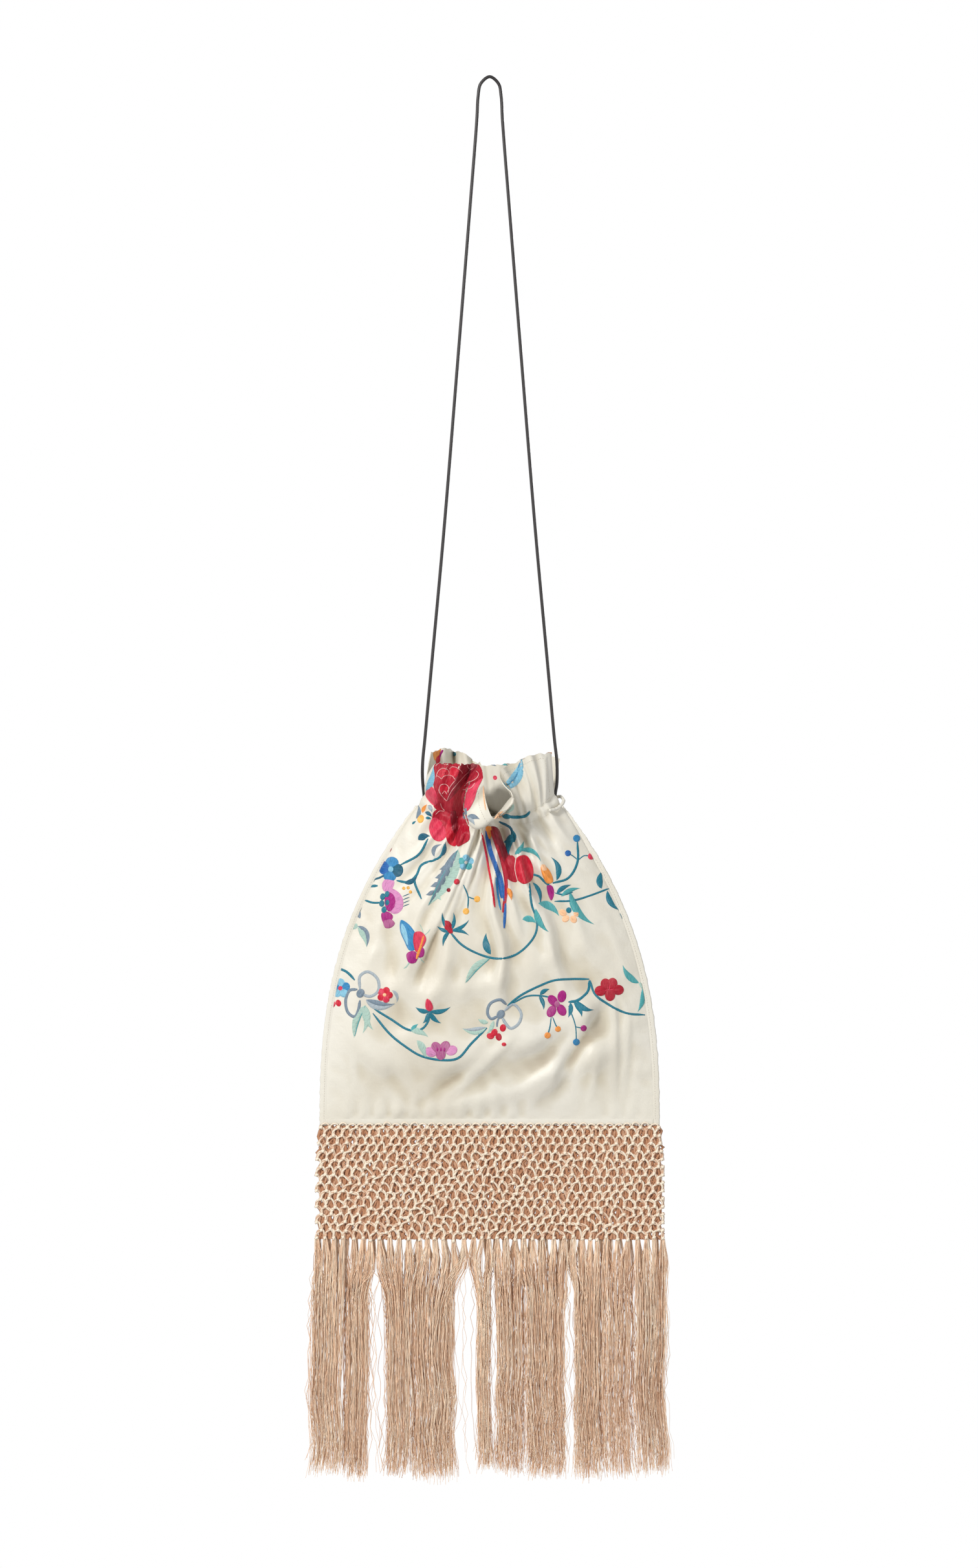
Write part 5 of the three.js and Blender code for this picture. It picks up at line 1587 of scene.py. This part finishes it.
def sew_heading(work):
    """What the frill shows of the border's motifs."""
    work.leaf((-49.4, 258), (-43.4, 277.4), 5.4, "light_blue", -0.1)
    work.leaf((9.8, 259.8), (24.4, 284.6), 8.4, "light_blue", -0.16, "light_blue")
    work.stem([(10.5, 260.6), (19.5, 269), (23.6, 281)], "blue", 0.6, 4)
    work.stem([(9.4, 259.4), (12, 262), (15, 264)], "teal", 1.2, 3)
    work.oval((24.6, 285.2), 4, 3, 60, "orange", 2)
    work.leaf((-19.2, 235.8), (-16.3, 247.4), 3.2, "slate", 0.1)
    work.leaf((-17.4, 238.4), (-7.6, 236.8), 4, "slate", 0.12)
    work.leaf((-18, 239), (-11.4, 232.2), 3.2, "pale_grey", 0.1)
    work.blob([(3.6, 237), (6, 240.4), (10.4, 242.4), (11.6, 240), (8, 237.6)], "peach", 30)
    work.blob([(10.6, 242.2), (14, 243.6), (18.4, 248.4), (18.6, 244.6), (14, 241.4)], "mint", 40)
    work.stem([(-4.8, 262), (-4.2, 252), (-3, 243.8)], "peach", 1.3)
    work.stem([(43, 288), (46, 288.6), (49, 287.4)], "orange", 1.3)


def sew_mouth(work):
    """What shows on the inner face of the back frill, seen through the bag's mouth."""
    work.blob([(-44.4, 286), (-43.6, 291.4), (-40.6, 293), (-38, 290.6), (-40.4, 284.6),
               (-43, 282)], "orange", 70)
    work.stem([(-36.4, 290), (-38.4, 286.4), (-40, 282)], "magenta", 1.8, 2)
    work.blob([(-42.4, 285), (-39.2, 286), (-38.6, 281), (-41.6, 279)], "red", 80, 2)
    work.dot((-27.1, 287), 3.4, "teal")
    work.dot((4.4, 268.2), 3.6, "rose")
    work.leaf((1, 278.6), (5.6, 277.2), 1.8, "slate", 0.1)
    work.leaf((9, 278.4), (14, 277.6), 1.6, "light_teal", 0.1)


front_work = Needlework(FRONT, -1)
for sew in (
    sew_upper_left,
    sew_butterfly,
    sew_bud_and_ring,
    sew_tail,
    sew_upper_right,
    sew_lower_left,
    sew_lower_right,
    sew_peony,
    sew_heading,
):
    sew(front_work)
embroidery_front = front_work.finish("embroidery_front")
mouth_work = Needlework(BACK, -1)
sew_mouth(mouth_work)
embroidery_mouth = mouth_work.finish("embroidery_mouth")
back_work = Needlework(BACK, 1)
for sew in (sew_bud_and_ring, sew_lower_left, sew_lower_right):
    sew(back_work)
embroidery_back = back_work.finish("embroidery_back")


# Sewing thread: rows of small stitches along the seams, the drawstring's casing and the heading's hem
STITCH_LENGTH = 1.1
STITCH_SPACING = 1.9
THREAD_RADIUS = 0.17
SEAM_ROW_INSET = 3.5
SEWN_ROWS = [
    # across, up, to across, to up (up as in cloth_point)
    (-0.94, 0.972, 0.94, 0.972),
    (-0.94, 1.05, 0.94, 1.05),
    (0.93, 1.1, 0.9, 1.9),
    (-0.94, 1.1, -0.92, 1.9),
    (-0.9, 1.9, 0.9, 1.9),
]


def thread_material():
    """Fine ivory sewing thread, a little greyer than the silk."""
    thread = Surface("sewing_thread", (0.62, 0.58, 0.49), 0.5, sheen=0.2)
    fibres = thread.noise(2400)
    thread.colour(fibres, [(0.3, (0.50, 0.46, 0.38)), (0.7, (0.70, 0.66, 0.56))])
    thread.emboss(fibres, 0.4, 0.0002)
    return thread.material


sewing_thread = thread_material()


def add_stitches(name, panel):
    draw = np.random.default_rng(130 + panel["facing"])
    stitches = []
    for a0, t0, a1, t1 in SEWN_ROWS:
        share = np.linspace(0, 1, 400)
        a, t = mix(a0, a1, share), mix(t0, t1, share)
        steps = np.linalg.norm(np.diff(cloth_point(panel, a, t), axis=0), axis=1)
        run = np.concatenate([[0], np.cumsum(steps)])
        starts = np.arange(0, run[-1] - STITCH_LENGTH, STITCH_SPACING)
        starts = starts + draw.uniform(-0.3, 0.3, len(starts))
        places = starts[:, None] + STITCH_LENGTH * np.array([0, 0.5, 1])
        lift = np.broadcast_to([-0.08, 0.12, -0.08], places.shape)
        stitches.append(on_cloth(panel, np.interp(places, run, a), np.interp(places, run, t), lift))
    for side in (-1, 1):
        level = np.arange(SEAM_WIDTH, POUCH_HEIGHT * SEAM_NARROWS_FROM, STITCH_SPACING)[:, None]
        level = level + STITCH_LENGTH * np.array([0, 0.5, 1])
        x = side * (edge_half_width(level / POUCH_HEIGHT) - SEAM_ROW_INSET)
        y = panel["facing"] * (SEAM_THICKNESS / 2 + np.broadcast_to([-0.1, 0.1, -0.1], x.shape))
        stitches.append(np.stack([x, y, level + BOTTOM_LEVEL], axis=-1))
    rows = add_tubes(name, np.vstack(stitches), THREAD_RADIUS, 4, [sewing_thread])
    return dress(rows, "silk")


stitches_front = add_stitches("stitches_front", FRONT)
stitches_back = add_stitches("stitches_back", BACK)


# The knotted net: rows of knots joined by twisted pairs of thread, one layer in front and one behind
NET_COLUMNS = 38
NET_ROWS = 14
LEG_STEPS = 7
PLY_RADIUS = 0.72
KNOT_RADIUS = 0.8
SHADE_THREAD_RADIUS = 1.25
LOOP_RADIUS = 0.62
# the edge loops' crest level: painted nearly as light as the tops of the knots
LOOP_CREST = 0.85
LAYER_OFFSET = 1.7  # from the middle plane to the middle of a layer
NET_PITCH = 2 * NET_HALF_WIDTH / NET_COLUMNS
NET_ROW_HEIGHT = (NET_TOP - NET_BOTTOM) / NET_ROWS
LEG_SWING = 0.66  # how far the two threads of a twist part sideways, and in depth
LEG_DEPTH = 0.55
LEG_ARCH = 0.7
KNOT_REACH = 1.35
KNOT_TILT = 0.75
KNOT_HEIGHT = 0.75
# the dark threads between the layers, which stand in for the shade seen through the meshes
SHADE_THREAD_COUNT = 118
SHADE_THREAD_STEPS = 22


def ripple(x, z):
    """How far the hanging border waves out of its plane."""
    hang = np.clip((NET_TOP - z) / (NET_TOP - NET_BOTTOM), 0, RIPPLE_GROWS_TO)
    return NET_RIPPLE * hang * np.sin(x / NET_HALF_WIDTH * RIPPLE_TURNS + RIPPLE_START)


def knot_places(facing):
    """x and z of every knot: rows from the top, each row half a mesh aside from the one above."""
    row, column = np.meshgrid(np.arange(NET_ROWS + 1), np.arange(NET_COLUMNS + 1), indexing="ij")
    aside = 0.5 * (row % 2) + (0.25 if facing > 0 else 0)
    share = np.clip((column + aside) / NET_COLUMNS, 0, 1) * 2 - 1
    down = row / NET_ROWS
    half = mix(BOTTOM_HALF_WIDTH - 1, NET_HALF_WIDTH - 0.8, np.minimum(down * 3, 1))
    loose = (1 - share**8) * np.minimum(down * 4, 1)
    seed = 60 + facing
    x = share * half + loose * 2.4 * waves(row * 5.0 + share * 40, 5, 60, seed)
    x = x + loose * 0.9 * waves(row * 9.7 + column * 5.3, 5, 9, seed + 3)
    z = NET_TOP - 1.2 - down * (NET_TOP - NET_BOTTOM - 2.6)
    z = z + loose * 1.5 * waves(share * 120 + row * 7, 4, 60, seed + 6)
    z = z + loose * 0.8 * waves(row * 11.3 + column * 7.1, 5, 10, seed + 9)
    return x, z


def bezier(a, b, c, d, steps):
    t = np.linspace(0, 1, steps)[:, None]
    a, b, c, d = (p[:, None, :] for p in (a, b, c, d))
    return (1 - t) ** 3 * a + 3 * t * (1 - t) ** 2 * b + 3 * t**2 * (1 - t) * c + t**3 * d


def in_layer(x, z, out, facing):
    """Points at a distance out from the layer's middle, on the waving border."""
    y = facing * (LAYER_OFFSET + out) + ripple(x, z)
    return np.stack([x, y, z], axis=-1)


class Bundle:
    """Collects threads with a crest value at each point, from 0 deep down to 1 on top, by which the net's
    material paints shade and highlight.
    """

    def __init__(self):
        self.points = []
        self.faces = []
        self.crests = []
        self.count = 0

    def add(self, centres, radius, sides, crest, caps=True):
        points, faces = tubes(centres, radius, sides, caps)
        self.points.append(points)
        self.faces += [[i + self.count for i in face] for face in faces]
        self.crests.append(np.repeat(np.broadcast_to(crest, centres.shape[:2]).ravel(), sides))
        self.count += len(points)

    def finish(self, name):
        crest = np.clip(np.concatenate(self.crests), 0, 1)
        return add_mesh(name, np.vstack(self.points), self.faces, [net_thread], values={"crest": crest})


def net_legs(x, z):
    """The two ends of each leg, from every knot to its two neighbours in the row below, and its side."""
    starts, ends, sides = [], [], []
    for row in range(NET_ROWS):
        for column in range(NET_COLUMNS + 1):
            for side in (-1, 1):
                other = column + (side - 1) // 2 + row % 2
                if 0 <= other <= NET_COLUMNS:
                    starts.append((x[row, column], z[row, column]))
                    ends.append((x[row + 1, other], z[row + 1, other]))
                    sides.append(side)
    a, d = np.array(starts), np.array(ends)
    apart = np.abs(a[:, 0] - d[:, 0]) > 0.8
    return a[apart], d[apart], np.array(sides, float)[apart][:, None]


def twist_legs(bundle, x, z, facing, draw):
    """Pairs of threads, twisted round each other from knot to knot."""
    a, d, side = net_legs(x, z)

    def vary(low, high):
        return draw.uniform(low, high, (len(a), 1))

    bulge, drop = vary(0.25, 0.5), vary(0.45, 0.65)
    b = a + np.hstack([side * NET_PITCH * bulge, -NET_ROW_HEIGHT * vary(0.02, 0.3)])
    c = d + np.hstack([side * NET_PITCH * vary(-0.05, 0.12), NET_ROW_HEIGHT * drop])
    path = bezier(a, b, c, d, LEG_STEPS)
    s = np.linspace(0, 1, LEG_STEPS)[None, :]
    arch = LEG_ARCH * np.sin(np.pi * s) * vary(-0.4, 1)
    phase = vary(0, 2 * np.pi) + s * vary(2.5, 5)
    threads, crests = [], []
    for ply in (0, np.pi):
        out = np.sin(phase + ply) * LEG_DEPTH + arch
        where = path + beside(path) * (np.cos(phase + ply) * LEG_SWING)[..., None]
        threads.append(in_layer(where[..., 0], where[..., 1], out, facing))
        # painted highlight and shade: the outer side of each twist lighter, the inner darker, a little
        # varied
        crests.append(0.55 + 0.4 * out + vary(-0.12, 0.12))
    bundle.add(np.concatenate(threads), PLY_RADIUS, 4, np.concatenate(crests), caps=False)


def tie_knots(bundle, x, z, facing, draw):
    """Two short threads crossed over each other at every knot."""
    x, z = x.reshape(-1, 1), z.reshape(-1, 1)
    turn = draw.uniform(-0.5, 0.5, len(x))[:, None]
    s = np.linspace(-1, 1, 5)[None, :]
    arcs, crests = [], []
    for tilt, over in ((KNOT_TILT, 0.45), (-KNOT_TILT, 0)):
        out = KNOT_HEIGHT * (1 - s**2) + over + 0 * x
        along_x, along_z = KNOT_REACH * np.cos(tilt + turn), KNOT_REACH * np.sin(tilt + turn)
        arcs.append(in_layer(x + s * along_x, z + s * along_z, out, facing))
        # painted highlight on the top of each knot's arc, painted shade towards its ends
        crests.append(0.55 + 0.5 * (1 - s**2) + draw.uniform(-0.1, 0.1, (len(x), 1)))
    bundle.add(np.concatenate(arcs), KNOT_RADIUS, 5, np.concatenate(crests))


def add_net(name, facing, node):
    draw = np.random.default_rng(70 + facing)
    bundle = Bundle()
    x, z = knot_places(facing)
    twist_legs(bundle, x, z, facing, draw)
    tie_knots(bundle, x, z, facing, draw)
    bundle.add(edge_loops(x[0], z[0], facing, draw), LOOP_RADIUS, 4, LOOP_CREST)
    # painted shade: dark threads between the layers, in place of the shade seen through the meshes
    inner, crest = shade_threads(facing, draw)
    bundle.add(inner, SHADE_THREAD_RADIUS, 4, crest, caps=False)
    return dress(bundle.finish(name), "netting", node)


def edge_loops(knot_x, knot_z, facing, draw):
    """The loops that hold the net, stitched over the silk's lower edge."""
    s = np.linspace(0, 1, 6)[None, :]
    start, end = knot_x[:-1, None], knot_x[1:, None]
    count = len(start)
    lean = draw.uniform(-0.8, 0.8, (count, 1)) * np.sin(np.pi * s)
    x = mix(start, end, s) + lean
    rise = (BOTTOM_LEVEL - NET_TOP + draw.uniform(1.6, 3.0, (count, 1))) * np.sin(np.pi * s) ** 0.7
    z = mix(knot_z[:-1, None], knot_z[1:, None], s) + rise + 0.8
    out = max(LAYER_OFFSET + 0.4, SEAM_THICKNESS / 2 + LOOP_RADIUS * 0.6)
    y = facing * out + 0 * x
    return np.stack([x, y, z], axis=-1)


def shade_threads(facing, draw):
    """Dark threads between the layers: painted shade that closes the meshes off in brown where the net would
    show through.
    """
    s = np.linspace(0, 1, SHADE_THREAD_STEPS)[None, :]
    start = np.linspace(-1, 1, SHADE_THREAD_COUNT)[:, None] * (NET_HALF_WIDTH - 4)
    x = start + 2.2 * waves(s * 88 + start * 3.7, 4, 16, 81 + facing, 0.5) + facing * 0.7
    z = mix(NET_TOP, NET_BOTTOM + 0.5, s) + 0 * start
    out = -LAYER_OFFSET + 0.45 + 0.3 * np.sin(s * 60 + start)
    crest = 0.06 + 0.2 * waves(s * 88 + start * 2.3, 5, 40, 87 + facing)
    return in_layer(x, z, out, facing), crest + draw.uniform(-0.08, 0.08, (SHADE_THREAD_COUNT, 1))


net_front = add_net("net_front_knotting", -1, "net_front")
net_back = add_net("net_back_knotting", 1, "net_back")


# The fringe: loose strands bunched at the knots, which gather into locks on the way down
STRANDS = 1180
STRAND_STEPS = 19
STRAND_RADIUS = 0.27
FRINGE_DEPTH = 3.8
FRONT_LOCKS = [
    # from, to (shares of the net's half width), drop, drift (shares of the fringe's length)
    (-1.02, -0.84, 0.985, -0.015),
    (-0.82, -0.7, 1.0, -0.005),
    (-0.585, -0.465, 0.985, 0.0),
    (-0.455, -0.205, 1.0, 0.005),
    (-0.075, -0.015, 0.96, 0.01),
    (0.035, 0.18, 0.985, 0.0),
    (0.205, 0.43, 1.0, 0.005),
    (0.485, 0.63, 1.0, 0.0),
    (0.64, 0.8, 0.985, 0.005),
    (0.83, 1.015, 0.98, 0.005),
]
BACK_LOCKS = [
    (-1.01, -0.86, 0.96, -0.01),
    (-0.84, -0.7, 0.98, -0.005),
    (-0.6, -0.43, 0.97, 0.0),
    (-0.42, -0.21, 0.99, 0.0),
    (-0.06, 0.0, 0.95, 0.01),
    (0.04, 0.2, 0.97, 0.0),
    (0.22, 0.42, 0.98, 0.0),
    (0.5, 0.66, 0.97, 0.0),
    (0.68, 0.82, 0.99, 0.0),
    (0.85, 1.0, 0.96, 0.01),
]
STRAY_SHARE = 0.1
SPLAY = 1.8
FARTHEST_ASIDE = 1.03  # shares of the net's half width
RANK_JITTER = 3
RAGGED_SHARE = 0.13
LENGTH_SPREAD = 0.012
HIDDEN_START = 6  # how much longer a strand is than what hangs free
SWAY = 1.6
STRAY_SWING = 1.6
WAVE_LENGTHS = (14, 45)
WAVE_SIZES = (0.15, 0.7)
STRAY_BOW = 5
LOCK_BOW = 0.6
TIP_RADIUS_LOSS = 0.35


def strand_ends(draw, home, locks):
    """Each strand's lock, whether it strays from it, and where across the net it ends."""
    rows = np.array(locks)
    middles, halves = (rows[:, 0] + rows[:, 1]) / 2, (rows[:, 1] - rows[:, 0]) / 2
    lock = np.argmin(np.abs(home[:, None] - middles) - halves, axis=1)
    end = np.empty(STRANDS)
    for k, (start, stop, _, _) in enumerate(locks):
        mine = np.flatnonzero(lock == k)
        jitter = draw.uniform(-RANK_JITTER, RANK_JITTER, len(mine))
        rank = (np.arange(len(mine)) + jitter) / max(len(mine) - 1, 1)
        end[mine] = mix(start, stop, np.clip(rank, 0, 1))
    stray = draw.uniform(0, 1, STRANDS) < STRAY_SHARE
    end = np.where(stray, home + draw.normal(0, 0.05, STRANDS), end)
    return lock, stray, np.clip(end, -FARTHEST_ASIDE, FARTHEST_ASIDE)


def add_fringe(name, facing, locks, node):
    draw = np.random.default_rng(90 + facing)

    def column(values):
        return np.asarray(values)[:, None]

    # Where each strand hangs from, and which lock it falls into
    knot_x, knot_z = (places[-1] for places in knot_places(facing))
    knots = len(knot_x)
    knot = np.sort(draw.integers(0, knots, STRANDS))
    place = draw.uniform(-1, 1, STRANDS)
    order = np.argsort(knot * 4 + place)
    knot, place = knot[order], place[order]
    lock, stray, end = strand_ends(draw, knot_x[knot] / NET_HALF_WIDTH, locks)
    drop, drift = np.array(locks)[lock, 2], np.array(locks)[lock, 3]

    # Its run: from its knot through a bunch below it into the lock
    s = np.linspace(0, 1, STRAND_STEPS)[None, :] ** 1.15
    spread = draw.uniform(0.5, 1.2, knots)[knot] * NET_PITCH / 2
    lean = draw.normal(0, 1.3, knots)[knot]
    bunch = knot_x[knot] + lean + spread * place + draw.normal(0, 0.35, STRANDS)
    leaves = column(draw.uniform(0.02, 0.12, knots)[knot])
    gather = column(draw.uniform(0.2, 0.42, knots)[knot] + draw.normal(0, 0.03, STRANDS))
    x = mix(column(knot_x[knot] + 1.6 * place), column(bunch), smooth(0.0, 0.1, s))
    x = mix(x, column(end * NET_HALF_WIDTH), smooth(leaves, gather, s))
    length = FRINGE_LENGTH * drop * (1 + draw.normal(0, LENGTH_SPREAD, STRANDS))
    ragged = draw.uniform(0, 1, STRANDS) ** 3 * RAGGED_SHARE
    z = column(knot_z[knot]) - 0.5 - s * column(length * (1 - ragged) + HIDDEN_START)

    # Its waves, bow and splayed end
    x = x + column(drift) * FRINGE_LENGTH * s**2
    sway = np.array([waves(s[0] * FRINGE_LENGTH, 3, 150, 120 + k) for k in range(len(locks))])[lock]
    x = x + SWAY * sway * s
    wave = 2 * np.pi * s * FRINGE_LENGTH / column(draw.uniform(*WAVE_LENGTHS, STRANDS))
    size = column(np.where(stray, STRAY_SWING, draw.uniform(*WAVE_SIZES, STRANDS)))
    turn = column(draw.uniform(0, 2 * np.pi, STRANDS))
    x = x + size * np.sin(wave + turn) * np.minimum(s * 8, 1)
    bow = np.where(stray, draw.normal(0, STRAY_BOW, STRANDS), draw.normal(0, LOCK_BOW, STRANDS))
    x = x + column(bow) * np.sin(np.pi * s)
    x = x + column(draw.normal(0, SPLAY, STRANDS)) * smooth(0.8, 1.02, s)
    deep = column(draw.uniform(0, 1, STRANDS))
    y_knot = facing * (LAYER_OFFSET + 0.8 * column(draw.uniform(-1, 1, STRANDS)))
    y_lock = facing * (0.25 + (FRINGE_DEPTH - 0.3) * deep)
    y = mix(y_knot, y_lock, smooth(0, 0.25, s)) + 0.3 * np.sin(wave * 1.3 + turn) + ripple(x, z)

    # Its colour, with painted shade on the strands that hang further in, and its thickness
    # painted shade: the 0.35 * deep term darkens strands that hang further in; the rest is each strand's own
    # colour
    tone_and_shade = 0.34 + 0.35 * deep + column(draw.normal(0, 0.2, STRANDS)) + 0.08 * sway
    tone_and_shade = tone_and_shade + 0.12 * np.sin(wave * 0.7 + turn * 2) + 0.15 * (1 - smooth(0, 0.15, s))
    radius = STRAND_RADIUS * column(draw.uniform(0.75, 1.3, STRANDS)) * (1 - TIP_RADIUS_LOSS * s)
    centres = np.stack([x, y, z], axis=-1)
    values = {"tone_and_shade": np.clip(tone_and_shade, 0, 1)}
    fringe = add_tubes(name, centres, radius, 3, [strand], values, caps=False)
    return dress(fringe, "fringe", node)


fringe_front = add_fringe("fringe_front_strands", -1, FRONT_LOCKS, "fringe_front")
fringe_back = add_fringe("fringe_back_strands", 1, BACK_LOCKS, "fringe_back")


# Light and floor, in metres
FLOOR_LEVEL = -1.28
FLOOR_RINGS = (0.15, 0.3, 0.45, 0.6)
FLOOR_SIDES = 96
LIGHT_AIM = (0, 0, -0.75)
# The surroundings' brightness from below (0) to above (1): white at eye level, grey beyond it
SURROUNDINGS = [
    (0.0, (0.2, 0.195, 0.19)),
    (0.36, (0.26, 0.255, 0.25)),
    (0.42, WHITE),
    (0.58, WHITE),
    (0.64, (0.34, 0.34, 0.34)),
    (1.0, (0.28, 0.28, 0.28)),
]
LIGHTS = [
    # name, place, side, power, colour
    ("key", (-1.5, -2.0, 0.75), 0.5, 62, (1, 0.985, 0.96)),
    ("fill", (1.5, -2.2, -0.3), 1.2, 12, WHITE),
    ("back", (0.6, 2.4, 0.2), 1.0, 34, WHITE),
]


def add_floor():
    turns = 2 * np.pi * np.arange(FLOOR_SIDES) / FLOOR_SIDES
    points = [(0, 0, FLOOR_LEVEL)]
    for radius in FLOOR_RINGS:
        points += [(radius * math.cos(a), radius * math.sin(a), FLOOR_LEVEL) for a in turns]
    after = [(i + 1) % FLOOR_SIDES for i in range(FLOOR_SIDES)]
    faces = [(0, 1 + i, 1 + j) for i, j in enumerate(after)]
    for k in range(len(FLOOR_RINGS) - 1):
        first = 1 + k * FLOOR_SIDES
        second = first + FLOOR_SIDES
        faces += [(first + i, second + i, second + j, first + j) for i, j in enumerate(after)]
    mesh = bpy.data.meshes.new("floor")
    mesh.from_pydata(points, [], faces)
    floor = bpy.data.objects.new("floor", mesh)
    bpy.context.collection.objects.link(floor)
    paint = Surface("pale_floor", (0.82, 0.81, 0.79), 0.7)
    paint.emboss(paint.noise(40, 3), 0.1, 0.001)
    mesh.materials.append(paint.material)


def add_world():
    world = bpy.data.worlds.new("studio")
    world.use_nodes = True
    bpy.context.scene.world = world
    sky = NodeTree(world.node_tree)
    place = sky.add("ShaderNodeTexCoord").outputs["Generated"]
    height = sky.add("ShaderNodeSeparateXYZ", Vector=place).outputs["Z"]
    level = sky.math("MULTIPLY_ADD", height, 0.5, 0.5)
    background = sky.tree.nodes["Background"].inputs
    sky.give(background["Color"], sky.tones(level, SURROUNDINGS))
    background["Strength"].default_value = 1.0


def add_light(name, place, side, power, colour):
    """A square light that faces the bag."""
    data = bpy.data.lights.new(name, "AREA")
    data.shape = "RECTANGLE"
    data.size = data.size_y = side
    data.energy = power
    data.color = colour
    light = bpy.data.objects.new(name, data)
    bpy.context.collection.objects.link(light)
    light.location = place
    way = np.array(LIGHT_AIM) - np.array(place)
    yaw = math.atan2(way[1], way[0]) - math.pi / 2
    pitch = math.atan2(math.hypot(way[0], way[1]), -way[2])
    light.rotation_euler = (pitch, 0, yaw)


bpy.context.scene.view_settings.view_transform = "Standard"
add_floor()
add_world()
for light_row in LIGHTS:
    add_light(*light_row)
